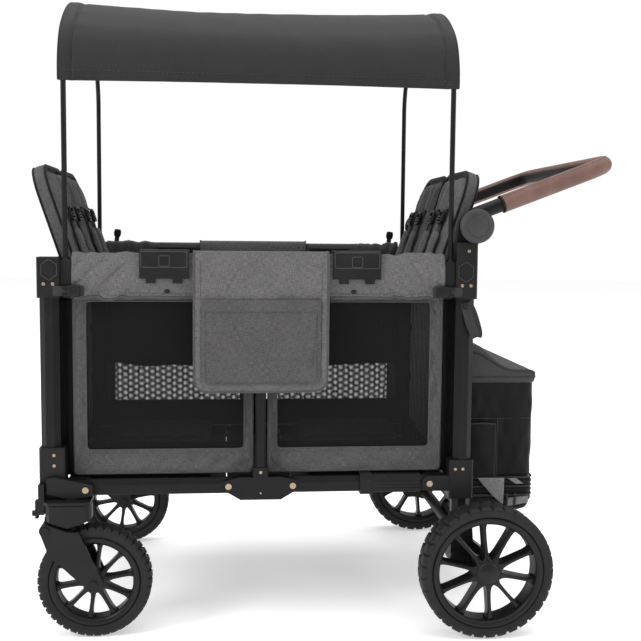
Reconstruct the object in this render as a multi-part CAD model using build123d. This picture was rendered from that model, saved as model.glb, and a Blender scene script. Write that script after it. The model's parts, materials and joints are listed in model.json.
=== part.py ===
from build123d import *
import os
from math import cos, hypot, radians, sin, sqrt

# Folding four-seat pull wagon.  Millimetres, +Z up.  X runs along the wagon: casters at the
# -X end, push handle at the +X end.  Y = 0 is the middle plane.  While it is built, X = 0 is
# the centre fold; every node is moved at the end so that the origin is the middle of the
# whole wagon's base.  "near" is the -Y side and "far" is the +Y side.

# ---- driving dimensions -------------------------------------------------------------------
POST_X = 397.0            # corner posts, from the centre fold
POST_Y = 262.0            # corner posts, from the middle plane
POST_SIZE = 36.0          # octagonal tube, across flats
TUBE_WALL = 2.0
TOP_PIVOT_Z = 700.0       # top rail hinges
BOTTOM_PIVOT_Z = 280.0    # bottom rail hinges
END_PIVOT_X = POST_X - 66.0       # rail hinges at the corner brackets
CENTRE_PIVOT_X = 62.0     # rail hinges at the centre frame
BOLT_RADIUS = 4.0

CASTER_AXIS_X = 35.0 - POST_X    # swivel axis
CASTER_Y = POST_Y + 29.0
CASTER_RADIUS = 107.0
CASTER_TRAIL = 48.0       # axle behind the swivel axis
CASTER_WIDTH = 44.0
REAR_AXLE_X = POST_X + 32.0
REAR_RADIUS = 128.0
REAR_WIDTH = 58.0
REAR_WHEEL_Y = POST_Y + 87.0
SPOKES = 10

POLE_X = POST_X - 30.0            # canopy poles
POLE_Y = POST_Y + 4.0
POLE_RADIUS = 5.0
ARCH_BASE_Z = 1060.0      # where the poles start to bend
ARCH_RISE = 168.0
ARCH_CORNER_RADIUS = 118.0
CANOPY_NEAR_Z = 1045.0    # lower edges of the canopy cloth
CANOPY_FAR_Z = 1126.0

HANDLE_PIVOT_X = POST_X + 15.0
HANDLE_PIVOT_Z = 784.0
HANDLE_TILT = 21.0        # degrees above level, as stored
HANDLE_REACH = 295.0      # pivot to the cross bar
HANDLE_OFFSET = 21.0      # the arms run this far above the pivot
HANDLE_ARM_Y = POST_Y + 13.0
HANDLE_RADIUS = 14.0
HANDLE_CORNER_RADIUS = 52.0
GRIP_THICKNESS = 3.0
GRIP_START = 67.0

SEAT_HINGE_X = POST_X - 45.0
SEAT_HINGE_Z = 668.0
SEAT_RECLINE = 21.0       # degrees outwards, as stored
SEAT_HEIGHT = 238.0
SEAT_THICKNESS = 30.0
SEAT_INNER_Y = 7.0
SEAT_OUTER_Y = POST_Y - 32.0

BAG_DEPTH = 151.0
BAG_HALF_WIDTH = POST_Y - 47.0
BAG_BOTTOM_Z = 200.0
BAG_RIM_Z = 478.0
LID_TOP_Z = 545.0
CLOTH_WALL = 6.0

# ---- fits ----------------------------------------------------------------------------------
SLIP = 0.1                # pieces of one body that sit inside each other
RUNNING = 0.05            # radial, a pin that turns in its hole
BODY_GAP = 0.5            # between pieces that move past each other

# ---- derived planes ------------------------------------------------------------------------
POST_IN_Y = POST_Y - POST_SIZE / 2
POST_OUT_X = POST_X + POST_SIZE / 2
BRACKET_WALL = 3.0
BRACKET_IN_Y = POST_IN_Y - BRACKET_WALL
BRACKET_OUT_Y = POST_Y + POST_SIZE / 2 + BRACKET_WALL
BRACKET_IN_X = POST_X - POST_SIZE / 2 - BRACKET_WALL
BRACKET_OUT_X = POST_OUT_X + BRACKET_WALL
RAIL_THICK = 18.0
RAIL_HEIGHT = 30.0
RAIL_Y = POST_Y + 5.0     # middle of the bottom rails
RAIL_IN_Y = RAIL_Y - RAIL_THICK / 2
RAIL_OUT_Y = RAIL_Y + RAIL_THICK / 2
PLATE_THICK = 6.0
TOP_RAIL_RADIUS = 11.0
TONGUE = 10.0             # flat ends of the top rails
FORK_PLATE = 6.0
WHEEL_GAP = 5.0           # tyre side to fork plate
FORK_IN = CASTER_WIDTH / 2 + WHEEL_GAP
CASTER_AXLE_X = CASTER_AXIS_X + CASTER_TRAIL
BOSS_X = CASTER_AXIS_X - 39.0
BOSS_Z = CASTER_RADIUS + 104.0
CROWN_TOP_Z = BOTTOM_PIVOT_Z - 24.5
MOUNT_PLATE = 6.0
MOUNT_BOTTOM_Z = CROWN_TOP_Z + BODY_GAP
FLOOR_TOP_Z = BOTTOM_PIVOT_Z - 8.0
FLOOR_THICK = 10.0

nodes = {}


# ---- small helpers -------------------------------------------------------------------------
def block(x0, x1, y0, y1, z0, z1):
    """A box from its lowest to its highest corner."""
    middle = Pos((x0 + x1) / 2, (y0 + y1) / 2, (z0 + z1) / 2)
    return middle * Box(abs(x1 - x0), abs(y1 - y0), abs(z1 - z0))


def slab(points, y0, y1):
    """A polygon in the XZ plane, given thickness from y0 to y1."""
    wire = Wire.make_polygon([Vector(x, y0, z) for x, z in points], close=True)
    return Solid.extrude(Face(wire), Vector(0, y1 - y0, 0))


def rod_y(x, z, y0, y1, radius):
    """A round bar along Y."""
    return Pos(x, (y0 + y1) / 2, z) * Rot(90, 0, 0) * Cylinder(radius, abs(y1 - y0))


def rod_x(y, z, x0, x1, radius):
    """A round bar along X."""
    return Pos((x0 + x1) / 2, y, z) * Rot(0, 90, 0) * Cylinder(radius, abs(x1 - x0))


def octagon(x, y, z0, z1, across):
    """An upright octagonal prism, flats square to X and Y."""
    outline = RegularPolygon(across / 2, 8, major_radius=False, rotation=22.5)
    return Pos(x, y, z0) * extrude(outline, amount=z1 - z0)


def upright_edges(shape, size):
    """The shape with its upright edges chamfered."""
    return chamfer(shape.edges().filter_by(Axis.Z), size)


def far_of(shape):
    return mirror(shape, Plane.XZ)


def pair(*shapes):
    """The near pieces and their mirror images on the far side."""
    return [s for s in shapes] + [far_of(s) for s in shapes]


def front_of(shapes):
    """The same pieces at the other end of the wagon."""
    return [mirror(s, Plane.YZ) for s in shapes]


# ---- corner posts --------------------------------------------------------------------------
REAR_POST_BOTTOM = 150.0
REAR_POST_TOP = 745.0
FRONT_POST_TOP = 715.0


def post(x, z0, z1):
    outer = octagon(x, -POST_Y, z0, z1, POST_SIZE)
    return outer - octagon(x, -POST_Y, z0 - 1, z1 + 1, POST_SIZE - 2 * TUBE_WALL)


front_post_bottom = MOUNT_BOTTOM_Z + MOUNT_PLATE
nodes["rear_posts"] = pair(post(POST_X, REAR_POST_BOTTOM, REAR_POST_TOP))
nodes["front_posts"] = pair(post(-POST_X, front_post_bottom, FRONT_POST_TOP))

# ---- corner brackets -----------------------------------------------------------------------
UPPER_BOTTOM_Z = TOP_PIVOT_Z - 57.0
UPPER_TOP_Z = TOP_PIVOT_Z + 19.0
SOCKET_BOTTOM_Z = UPPER_BOTTOM_Z + 9.0
SOCKET_WALL = 3.2
LUG_RADIUS = 12.0
LUG_THICK = 4.0
BOLT_HEAD = 2.5


def lug_pair(x_pivot, z_pivot, x_root, middle_y, half_gap, thick, radius):
    """Two parallel plates with round ends about a pivot, and a bolt hole through both."""
    plates = None
    for side in (-1, 1):
        y0 = -middle_y + side * half_gap
        y1 = -middle_y + side * (half_gap + thick)
        plate = block(x_pivot, x_root, y0, y1, z_pivot - radius, z_pivot + radius)
        plate = plate + rod_y(x_pivot, z_pivot, y0, y1, radius)
        plates = plate if plates is None else plates + plate
    reach = half_gap + thick + 1
    return plates - rod_y(x_pivot, z_pivot, -middle_y - reach, -middle_y + reach,
                          BOLT_RADIUS + SLIP)


def upper_bracket(open_top):
    """The corner moulding: post collar, embossed hexagon, pole socket and top rail lugs."""
    body = block(BRACKET_IN_X, BRACKET_OUT_X, -BRACKET_OUT_Y, -BRACKET_IN_Y,
                 UPPER_BOTTOM_Z, UPPER_TOP_Z)
    body = upright_edges(body, 2.5)
    web_in = POLE_X - POLE_RADIUS - SOCKET_WALL - 3
    web = block(web_in, BRACKET_IN_X + 1, -POLE_Y - 8, -POLE_Y + 14,
                UPPER_BOTTOM_Z + 6, UPPER_TOP_Z - 4)
    sleeve = Pos(POLE_X, -POLE_Y, (UPPER_BOTTOM_Z + UPPER_TOP_Z) / 2) * Cylinder(
        POLE_RADIUS + SOCKET_WALL, UPPER_TOP_Z - UPPER_BOTTOM_Z)
    lugs = lug_pair(END_PIVOT_X, TOP_PIVOT_Z, web_in + 1, POST_Y, TONGUE / 2 + BODY_GAP,
                    LUG_THICK, LUG_RADIUS)
    middle_x = (BRACKET_IN_X + BRACKET_OUT_X) / 2
    emboss = slab([(middle_x + dx, TOP_PIVOT_Z + dz) for dx, dz in
                   ((-13, 0), (-6.5, 15), (8, 15), (14, 6), (14, -6), (8, -15), (-6.5, -15))],
                  -BRACKET_OUT_Y - 0.8, -BRACKET_OUT_Y + 0.5)
    body = body + web + sleeve + lugs + emboss
    hole_top = UPPER_TOP_Z + 1 if open_top else FRONT_POST_TOP + SLIP
    body = body - octagon(POST_X, -POST_Y, UPPER_BOTTOM_Z - 1, hole_top, POST_SIZE + 2 * SLIP)
    socket = Pos(POLE_X, -POLE_Y, (SOCKET_BOTTOM_Z + UPPER_TOP_Z + 1) / 2) * Cylinder(
        POLE_RADIUS + BODY_GAP / 2, UPPER_TOP_Z + 1 - SOCKET_BOTTOM_Z)
    return body - socket


LOWER_LUG_RADIUS = 15.0
REAR_LOWER_BOTTOM_Z = BOTTOM_PIVOT_Z - 31.0
REAR_LOWER_TOP_Z = BOTTOM_PIVOT_Z + 46.0
FRONT_LOWER_TOP_Z = BOTTOM_PIVOT_Z + 79.0


def lower_bracket(z0, z1):
    """The lower collar with the two plates that hold the bottom rail's hinge bolt."""
    body = block(BRACKET_IN_X - 6, BRACKET_OUT_X, -BRACKET_OUT_Y, -BRACKET_IN_Y, z0, z1)
    body = upright_edges(body, 2.5)
    lugs = lug_pair(END_PIVOT_X, BOTTOM_PIVOT_Z, BRACKET_IN_X - 5, RAIL_Y,
                    RAIL_THICK / 2 + BODY_GAP, PLATE_THICK, LOWER_LUG_RADIUS)
    body = body + lugs
    return body - octagon(POST_X, -POST_Y, z0 - 1, z1 + 1, POST_SIZE + 2 * SLIP)


button = block(POST_X - 12, POST_X - 1, -BRACKET_OUT_Y - 1.2, -BRACKET_OUT_Y + 0.5,
               BOTTOM_PIVOT_Z - 9.5, BOTTOM_PIVOT_Z + 1.5)
rear_lower = lower_bracket(REAR_LOWER_BOTTOM_Z, REAR_LOWER_TOP_Z) + button

hex_out = BRACKET_OUT_Y + 11.0
hex_cover = slab([(END_PIVOT_X - 13, BOTTOM_PIVOT_Z + 9), (POST_X - 8, BOTTOM_PIVOT_Z + 25),
                  (POST_X + 6, BOTTOM_PIVOT_Z + 22), (POST_X + 6, BOTTOM_PIVOT_Z - 6),
                  (POST_X - 37, front_post_bottom + SLIP), (END_PIVOT_X - 13, BOTTOM_PIVOT_Z - 12)],
                 -hex_out, -BRACKET_OUT_Y + 0.5)
hex_cover = hex_cover - rod_y(END_PIVOT_X, BOTTOM_PIVOT_Z, -hex_out - 1, -BRACKET_OUT_Y + 1,
                              BOLT_RADIUS + SLIP)
front_lower = mirror(lower_bracket(front_post_bottom + SLIP, FRONT_LOWER_TOP_Z) + hex_cover,
                     Plane.YZ)

nodes["rear_brackets"] = pair(upper_bracket(True), rear_lower)
nodes["front_brackets"] = pair(mirror(upper_bracket(False), Plane.YZ), front_lower)

# ---- end frames' cross tubes, with the rod that the seat backs hinge on --------------------
CROSS_RADIUS = 11.0
TOP_TUBE_X = POST_X - 8.0
TOP_TUBE_Z = TOP_PIVOT_Z - 16.0
LOW_TUBE_Z = BOTTOM_PIVOT_Z - 5.0
HINGE_ROD_RADIUS = 4.0
HINGE_ARM_Y = SEAT_OUTER_Y + 3.0
cross_half = BRACKET_IN_Y - SLIP

top_tube = rod_y(TOP_TUBE_X, TOP_TUBE_Z, -cross_half, cross_half, CROSS_RADIUS)
top_tube = top_tube - rod_y(TOP_TUBE_X, TOP_TUBE_Z, -cross_half - 1, cross_half + 1,
                            CROSS_RADIUS - TUBE_WALL)
hinge_arm = slab([(SEAT_HINGE_X - 6, SEAT_HINGE_Z - 6), (SEAT_HINGE_X - 6, SEAT_HINGE_Z + 6),
                  (TOP_TUBE_X - 5, TOP_TUBE_Z + 8), (TOP_TUBE_X - 1, TOP_TUBE_Z - 9.5)],
                 -HINGE_ARM_Y - 5, -HINGE_ARM_Y)
hinge_arm = hinge_arm - rod_y(TOP_TUBE_X, TOP_TUBE_Z, -cross_half, cross_half,
                              CROSS_RADIUS - TUBE_WALL)
hinge_rod = rod_y(SEAT_HINGE_X, SEAT_HINGE_Z, -HINGE_ARM_Y - 1, HINGE_ARM_Y + 1,
                  HINGE_ROD_RADIUS)
upper_cross = top_tube + hinge_arm + far_of(hinge_arm) + hinge_rod
lower_cross = rod_y(POST_X, LOW_TUBE_Z, -cross_half, cross_half, CROSS_RADIUS)
lower_cross = lower_cross - rod_y(POST_X, LOW_TUBE_Z, -cross_half - 1, cross_half + 1,
                                  CROSS_RADIUS - TUBE_WALL)
nodes["rear_cross_tubes"] = [upper_cross, lower_cross]
nodes["front_cross_tubes"] = front_of([upper_cross, lower_cross])

# ---- end walls: sewn cloth with a quilted pad on the inside --------------------------------
WALL_OUT_X = POST_X + 8.0
WALL_IN_X = WALL_OUT_X - 4.0
PAD_IN_X = WALL_IN_X - 16.0
WALL_HALF = BRACKET_IN_Y - 1.0
wall = block(WALL_IN_X, WALL_OUT_X, -WALL_HALF, WALL_HALF, BOTTOM_PIVOT_Z + 10, UPPER_TOP_Z - 3)
back_pad = block(PAD_IN_X, WALL_IN_X + 0.5, -WALL_HALF + 6, WALL_HALF - 6,
                 BOTTOM_PIVOT_Z + 22, SEAT_HINGE_Z - 22)
back_pad = fillet(back_pad.edges().filter_by(Axis.X), 10)
nodes["rear_end_wall"] = [wall + back_pad]
nodes["front_end_wall"] = front_of([wall + back_pad])

# ---- rear axle and its arms ----------------------------------------------------------------
AXLE_TUBE_RADIUS = 12.5
STUB_RADIUS = 6.0
STUB_END_Y = REAR_WHEEL_Y + REAR_WIDTH / 2 - 9.0
rear_hub_in_y = REAR_WHEEL_Y - REAR_WIDTH / 2 - 4.0
PEDAL_PIVOT_X = REAR_AXLE_X + 20.0
PEDAL_PIVOT_Z = REAR_RADIUS + 22.0
PEDAL_HALF = 42.0
axle = rod_y(REAR_AXLE_X, REAR_RADIUS, -rear_hub_in_y + 1, rear_hub_in_y - 1, AXLE_TUBE_RADIUS)
axle = axle + rod_y(REAR_AXLE_X, REAR_RADIUS, -STUB_END_Y, STUB_END_Y, STUB_RADIUS)
for side in (-1, 1):
    lug = slab([(REAR_AXLE_X - 6, REAR_RADIUS + 6), (REAR_AXLE_X + 8, REAR_RADIUS + 30),
                (PEDAL_PIVOT_X + 9, PEDAL_PIVOT_Z + 8), (PEDAL_PIVOT_X + 9, PEDAL_PIVOT_Z - 8),
                (REAR_AXLE_X + 10, REAR_RADIUS)],
               side * (PEDAL_HALF + 1), side * (PEDAL_HALF + 7))
    axle = axle + lug
axle = axle + rod_y(PEDAL_PIVOT_X, PEDAL_PIVOT_Z, -PEDAL_HALF - 2, PEDAL_HALF + 2, BOLT_RADIUS)

arm_in_y = POST_IN_Y + 1.0
arm_out_y = 2 * POST_Y - arm_in_y
arm = slab([(POST_X - 21, REAR_POST_BOTTOM + 52), (POST_X + 21, REAR_POST_BOTTOM + 52),
            (POST_X + 24, REAR_RADIUS + 34), (REAR_AXLE_X + 20, REAR_RADIUS + 12),
            (REAR_AXLE_X + 20, REAR_RADIUS - 10), (REAR_AXLE_X + 8, REAR_RADIUS - 20),
            (REAR_AXLE_X - 34, REAR_RADIUS - 16), (POST_X - 21, REAR_RADIUS + 12)],
           -BRACKET_OUT_Y, -BRACKET_IN_Y)
arm = arm + rod_y(REAR_AXLE_X, REAR_RADIUS, -BRACKET_OUT_Y - 8, -BRACKET_IN_Y, 22)
arm = arm + rod_y(POST_X - 4, REAR_RADIUS + 2, -BRACKET_OUT_Y - 5, -BRACKET_IN_Y, 19)
arm = arm - rod_y(REAR_AXLE_X, REAR_RADIUS, -BRACKET_OUT_Y - 9, -BRACKET_IN_Y + 1,
                  AXLE_TUBE_RADIUS + SLIP)
arm = arm - octagon(POST_X, -POST_Y, REAR_POST_BOTTOM - SLIP, REAR_POST_BOTTOM + 60,
                    POST_SIZE + 2 * SLIP)
nodes["rear_axle"] = [axle] + pair(arm)

# ---- brake pedal ---------------------------------------------------------------------------
pedal = block(PEDAL_PIVOT_X, PEDAL_PIVOT_X + 58, -PEDAL_HALF, PEDAL_HALF,
              PEDAL_PIVOT_Z - 3, PEDAL_PIVOT_Z + 4)
pedal = chamfer(pedal.edges().filter_by(Axis.Z), 8)
pedal = pedal + rod_y(PEDAL_PIVOT_X, PEDAL_PIVOT_Z, -PEDAL_HALF, PEDAL_HALF, 9)
pedal = pedal - rod_y(PEDAL_PIVOT_X, PEDAL_PIVOT_Z, -PEDAL_HALF - 1, PEDAL_HALF + 1,
                      BOLT_RADIUS + RUNNING)
nodes["brake_pedal"] = [pedal]


# ---- wheels --------------------------------------------------------------------------------
def ring(x, z, y_middle, outer, inner, half, edge=0.0):
    """A ring about a wheel's axle, its outer corners rounded by edge."""
    body = Rot(90, 0, 0) * Cylinder(outer, 2 * half)
    if edge:
        body = fillet(body.edges(), edge)
    body = body - Rot(90, 0, 0) * Cylinder(inner, 2 * half + 2)
    return Pos(x, y_middle, z) * body


def wheel(x, z, y_middle, radius, width, hub_radius, hub_half, bore, opening):
    """A moulded rim with flat spokes, and its tyre.  opening is the spokes' outer radius."""
    rim_radius = opening + 13.0
    rim = ring(x, z, y_middle, rim_radius, opening, width / 2 - 3)
    rim = rim + ring(x, z, y_middle, hub_radius, bore, hub_half)
    length = opening - hub_radius + 3
    for k in range(SPOKES):
        turn = Pos(x, y_middle, z) * Rot(0, 360.0 * k / SPOKES, 0)
        spoke = Pos(hub_radius - 1.5 + length / 2, 0, 0) * Box(length, width * 0.52, 5.5)
        rim = rim + turn * spoke
    tyre = ring(x, z, y_middle, radius, rim_radius + RUNNING, width / 2, 9.0)
    return tyre, rim


REAR_HUB_RADIUS = 24.0
rear_hub_half = REAR_WIDTH / 2 + 3.5
tyre, rim = wheel(REAR_AXLE_X, REAR_RADIUS, -REAR_WHEEL_Y, REAR_RADIUS, REAR_WIDTH,
                  REAR_HUB_RADIUS, rear_hub_half, STUB_RADIUS + RUNNING, REAR_RADIUS * 0.73)
cap = rod_y(REAR_AXLE_X, REAR_RADIUS, -REAR_WHEEL_Y - rear_hub_half,
            -STUB_END_Y - BODY_GAP, REAR_HUB_RADIUS - 3)
rim = rim + cap
for name, half in (("near", lambda s: s), ("far", far_of)):
    nodes[f"rear_tyre_{name}"] = [half(tyre)]
    nodes[f"rear_rim_{name}"] = [half(rim)]

# ---- casters -------------------------------------------------------------------------------
CASTER_AXLE_RADIUS = 5.0
KINGPIN_RADIUS = 6.0
crown_bottom = BOSS_Z + 17.0
crown_half = 43.0
crown = slab([(CASTER_AXIS_X - crown_half, CROWN_TOP_Z), (CASTER_AXIS_X + crown_half, CROWN_TOP_Z),
              (CASTER_AXIS_X + crown_half, crown_bottom), (CASTER_AXIS_X, crown_bottom - 14),
              (CASTER_AXIS_X - crown_half, crown_bottom)], -CASTER_Y - 29, -CASTER_Y + 29)
crown = crown & (Pos(CASTER_AXIS_X, -CASTER_Y, CROWN_TOP_Z) * Cylinder(crown_half + 1, 200))
tongue_half = FORK_IN - BODY_GAP
tongue = slab([(BOSS_X - 4, BOSS_Z + 11), (BOSS_X - 4, crown_bottom + 5),
               (BOSS_X + 24, crown_bottom + 5), (BOSS_X + 10, BOSS_Z + 2)],
              -CASTER_Y - 18, -CASTER_Y + 18)
crown = crown + tongue + rod_y(BOSS_X, BOSS_Z, -CASTER_Y - tongue_half, -CASTER_Y + tongue_half, 12)
pin_half = FORK_IN + FORK_PLATE + BODY_GAP
crown = crown + rod_y(BOSS_X, BOSS_Z, -CASTER_Y - pin_half - 3, -CASTER_Y + pin_half + 3,
                      BOLT_RADIUS)
for side in (-1, 1):
    crown = crown + rod_y(BOSS_X, BOSS_Z, -CASTER_Y + side * pin_half,
                          -CASTER_Y + side * (pin_half + 3), 7)
crown = crown - Pos(CASTER_AXIS_X, -CASTER_Y, CROWN_TOP_Z) * Cylinder(KINGPIN_RADIUS + RUNNING, 50)


def fork_plate(y0, y1):
    """The side plate: round about the pivot boss and the axle, broad in between."""
    plate = slab([(BOSS_X, BOSS_Z + 12), (BOSS_X + 15, BOSS_Z + 6), (CASTER_AXIS_X, BOSS_Z - 3),
                  (CASTER_AXIS_X + 22, BOSS_Z - 5), (CASTER_AXIS_X + 31, BOSS_Z - 25),
                  (CASTER_AXLE_X + 16, CASTER_RADIUS + 5), (CASTER_AXLE_X - 16, CASTER_RADIUS - 6),
                  (BOSS_X + 5, CASTER_RADIUS + 57), (BOSS_X - 12, BOSS_Z)], y0, y1)
    plate = plate + rod_y(BOSS_X, BOSS_Z, y0, y1, 12)
    plate = plate + rod_y(CASTER_AXLE_X, CASTER_RADIUS, y0, y1, 17)
    return plate - rod_y(BOSS_X, BOSS_Z, y0 - 1, y1 + 1, BOLT_RADIUS + RUNNING)


fork = fork_plate(-CASTER_Y - FORK_IN - FORK_PLATE, -CASTER_Y - FORK_IN)
fork = fork + fork_plate(-CASTER_Y + FORK_IN, -CASTER_Y + FORK_IN + FORK_PLATE)
bridge_x = BOSS_X + 4.0
bridge_z = BOSS_Z - 23.0
fork = fork + rod_y(bridge_x, bridge_z, -CASTER_Y - FORK_IN - 1, -CASTER_Y + FORK_IN + 1, 5)
axle_half = FORK_IN + FORK_PLATE
fork = fork + rod_y(CASTER_AXLE_X, CASTER_RADIUS, -CASTER_Y - axle_half, -CASTER_Y + axle_half,
                    CASTER_AXLE_RADIUS)
for side in (-1, 1):
    fork = fork + rod_y(CASTER_AXLE_X, CASTER_RADIUS, -CASTER_Y + side * (axle_half - 1),
                        -CASTER_Y + side * (axle_half + 3.5), 7)

caster_tyre, caster_rim = wheel(CASTER_AXLE_X, CASTER_RADIUS, -CASTER_Y, CASTER_RADIUS,
                                CASTER_WIDTH, 17.0, FORK_IN - 2.0,
                                CASTER_AXLE_RADIUS + RUNNING, CASTER_RADIUS * 0.67)

# caster mount: plate under the bracket, kingpin and the fixed guide of the swivel lock
mount = block(CASTER_AXIS_X - 44, CASTER_AXIS_X + 42, -CASTER_Y - 27, -BRACKET_IN_Y,
              MOUNT_BOTTOM_Z, front_post_bottom)
mount = upright_edges(mount, 8)
mount = mount + Pos(CASTER_AXIS_X, -CASTER_Y, MOUNT_BOTTOM_Z - 10) * Cylinder(
    KINGPIN_RADIUS, 22)
mount = mount + block(-BRACKET_OUT_X, -BRACKET_OUT_X + 11, -CASTER_Y - 8, -CASTER_Y + 8,
                      BOSS_Z + 24, BOTTOM_PIVOT_Z + 12)
mount = mount + block(-BRACKET_OUT_X, CASTER_AXIS_X - 40, -CASTER_Y - 8, -CASTER_Y + 8,
                      MOUNT_BOTTOM_Z, front_post_bottom)
lock = block(-BRACKET_OUT_X - 6, -BRACKET_OUT_X - BODY_GAP, -CASTER_Y - 7, -CASTER_Y + 7,
             BOSS_Z + 17, BOSS_Z + 51)
lock = lock + rod_x(-CASTER_Y, BOSS_Z + 26, -BRACKET_OUT_X - 12, -BRACKET_OUT_X - 5, 5.5)

nodes["caster_mounts"] = pair(mount)
for name, half in (("near", lambda s: s), ("far", far_of)):
    nodes[f"caster_crown_{name}"] = [half(crown)]
    nodes[f"caster_fork_{name}"] = [half(fork)]
    nodes[f"caster_tyre_{name}"] = [half(caster_tyre)]
    nodes[f"caster_rim_{name}"] = [half(caster_rim)]
    nodes[f"caster_lock_{name}"] = [half(lock)]

# ---- bottom rails --------------------------------------------------------------------------
half_height = RAIL_HEIGHT / 2


def rail_section(x0, x1, grow=0.0):
    """The rail's six-sided section, run from x0 to x1."""
    y0, y1 = -RAIL_OUT_Y - grow, -RAIL_IN_Y + grow
    z0, z1 = BOTTOM_PIVOT_Z - half_height - grow, BOTTOM_PIVOT_Z + half_height + grow
    wire = Wire.make_polygon([Vector(x0, y0 + 6, z1), Vector(x0, y0, z1 - 11),
                              Vector(x0, y0, z0 + 2), Vector(x0, y0 + 2, z0),
                              Vector(x0, y1 - 2, z0), Vector(x0, y1, z0 + 2),
                              Vector(x0, y1, z1 - 3), Vector(x0, y1 - 3, z1)], close=True)
    return Solid.extrude(Face(wire), Vector(x1 - x0, 0, 0))


def bottom_rail():
    """A solid-ended rail, round about both hinge bolts, hollow in between."""
    body = rail_section(CENTRE_PIVOT_X, END_PIVOT_X)
    for x in (CENTRE_PIVOT_X, END_PIVOT_X):
        body = body + rod_y(x, BOTTOM_PIVOT_Z, -RAIL_OUT_Y, -RAIL_IN_Y, half_height - 1)
    core = block(CENTRE_PIVOT_X + 22, END_PIVOT_X - 22, -RAIL_OUT_Y + 3, -RAIL_IN_Y - 3,
                 BOTTOM_PIVOT_Z - half_height + 3, BOTTOM_PIVOT_Z + 3)
    body = body - core
    for x in (CENTRE_PIVOT_X, END_PIVOT_X):
        body = body - rod_y(x, BOTTOM_PIVOT_Z, -RAIL_OUT_Y - 1, -RAIL_IN_Y + 1,
                            BOLT_RADIUS + RUNNING)
    return body


rail = bottom_rail()
nodes["rear_bottom_rails"] = pair(rail)
nodes["front_bottom_rails"] = front_of(pair(rail))

# ribbed sleeve and collar on the rear rails
COVER_X0 = 217.0
COVER_X1 = END_PIVOT_X - 17.0
COLLAR_LENGTH = 23.0
COLLAR_WALL = 5.0
cover = rail_section(COVER_X0, COVER_X1, 2.5)
for k in range(3):
    z = BOTTOM_PIVOT_Z - 9 + 6.5 * k
    cover = cover - block(COVER_X0 + 8, COVER_X1 + 1, -RAIL_OUT_Y - 3, -RAIL_OUT_Y - 1.5, z, z + 2)
collar = rail_section(COVER_X0 - COLLAR_LENGTH, COVER_X0, COLLAR_WALL)
cover = (cover + collar) - rail_section(COVER_X0 - COLLAR_LENGTH - 5, COVER_X1 + 5, SLIP)
nodes["rail_covers"] = pair(cover)

# ---- floor boards and seat pads ------------------------------------------------------------
FLOOR_IN_X = CENTRE_PIVOT_X + 4.0
FLOOR_OUT_X = END_PIVOT_X - 2.0       # ends before the hinges, so its edge never dips as it folds
FLOOR_HALF = RAIL_IN_Y - 8.0
board = block(FLOOR_IN_X, FLOOR_OUT_X, -FLOOR_HALF, FLOOR_HALF,
              FLOOR_TOP_Z - FLOOR_THICK, FLOOR_TOP_Z)
for x in (FLOOR_IN_X + 30, COVER_X0 - COLLAR_LENGTH - 35):
    board = board + block(x, x + 30, -RAIL_IN_Y + SLIP, RAIL_IN_Y - SLIP,
                          FLOOR_TOP_Z - FLOOR_THICK, FLOOR_TOP_Z)
nodes["rear_floor_board"] = [board]
nodes["front_floor_board"] = front_of([board])

seat_pad = block(FLOOR_IN_X + 24, FLOOR_OUT_X + 10, -FLOOR_HALF + 4, FLOOR_HALF - 4,
                 FLOOR_TOP_Z + 0.3, FLOOR_TOP_Z + 46)
seat_pad = fillet(seat_pad.edges().filter_by(Axis.Z), 18)
seat_pad = fillet(seat_pad.edges().group_by(Axis.Z)[-1], 12)
nodes["rear_seat_pad"] = [seat_pad]
nodes["front_seat_pad"] = front_of([seat_pad])

# ---- centre frame --------------------------------------------------------------------------
plate_half_x = CENTRE_PIVOT_X + 9.0


def centre_plate(y0, y1):
    """A long octagonal plate that carries both rail hinges."""
    low, high = BOTTOM_PIVOT_Z - 27, BOTTOM_PIVOT_Z + 17
    plate = slab([(-plate_half_x, BOTTOM_PIVOT_Z - 8), (-plate_half_x + 32, low),
                  (plate_half_x - 32, low), (plate_half_x, BOTTOM_PIVOT_Z - 8),
                  (plate_half_x, BOTTOM_PIVOT_Z + 10), (plate_half_x - 30, high),
                  (-plate_half_x + 30, high), (-plate_half_x, BOTTOM_PIVOT_Z + 10)], y0, y1)
    for x in (-CENTRE_PIVOT_X, CENTRE_PIVOT_X):
        plate = plate - rod_y(x, BOTTOM_PIVOT_Z, y0 - 1, y1 + 1, BOLT_RADIUS + SLIP)
    return plate


plate_out_y = RAIL_OUT_Y + BODY_GAP
plate_in_y = RAIL_IN_Y - BODY_GAP
nodes["centre_plates"] = pair(centre_plate(-plate_out_y - PLATE_THICK, -plate_out_y),
                              centre_plate(-plate_in_y, -plate_in_y + PLATE_THICK))

CENTRE_POST_HALF = 10.0
centre_post_z0 = BOTTOM_PIVOT_Z + 17 + SLIP
hinge_block_z0 = TOP_PIVOT_Z - LUG_RADIUS
post_y0 = -POST_Y - 19.0
post_y1 = -POST_Y - 5.0
centre_post = block(-CENTRE_POST_HALF, CENTRE_POST_HALF, post_y0, post_y1,
                    centre_post_z0 + 5, hinge_block_z0 - SLIP)
centre_post = upright_edges(centre_post, 3)
centre_post = centre_post - block(-CENTRE_POST_HALF + 2, CENTRE_POST_HALF - 2, post_y0 + 2,
                                  post_y1 - 2, centre_post_z0 + 25, hinge_block_z0 - 20)
foot = block(-15, 15, post_y0 - 2, post_y1 + 2, centre_post_z0, centre_post_z0 + 19)
foot = upright_edges(foot, 2)
nodes["centre_posts"] = pair(centre_post + foot)

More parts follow.
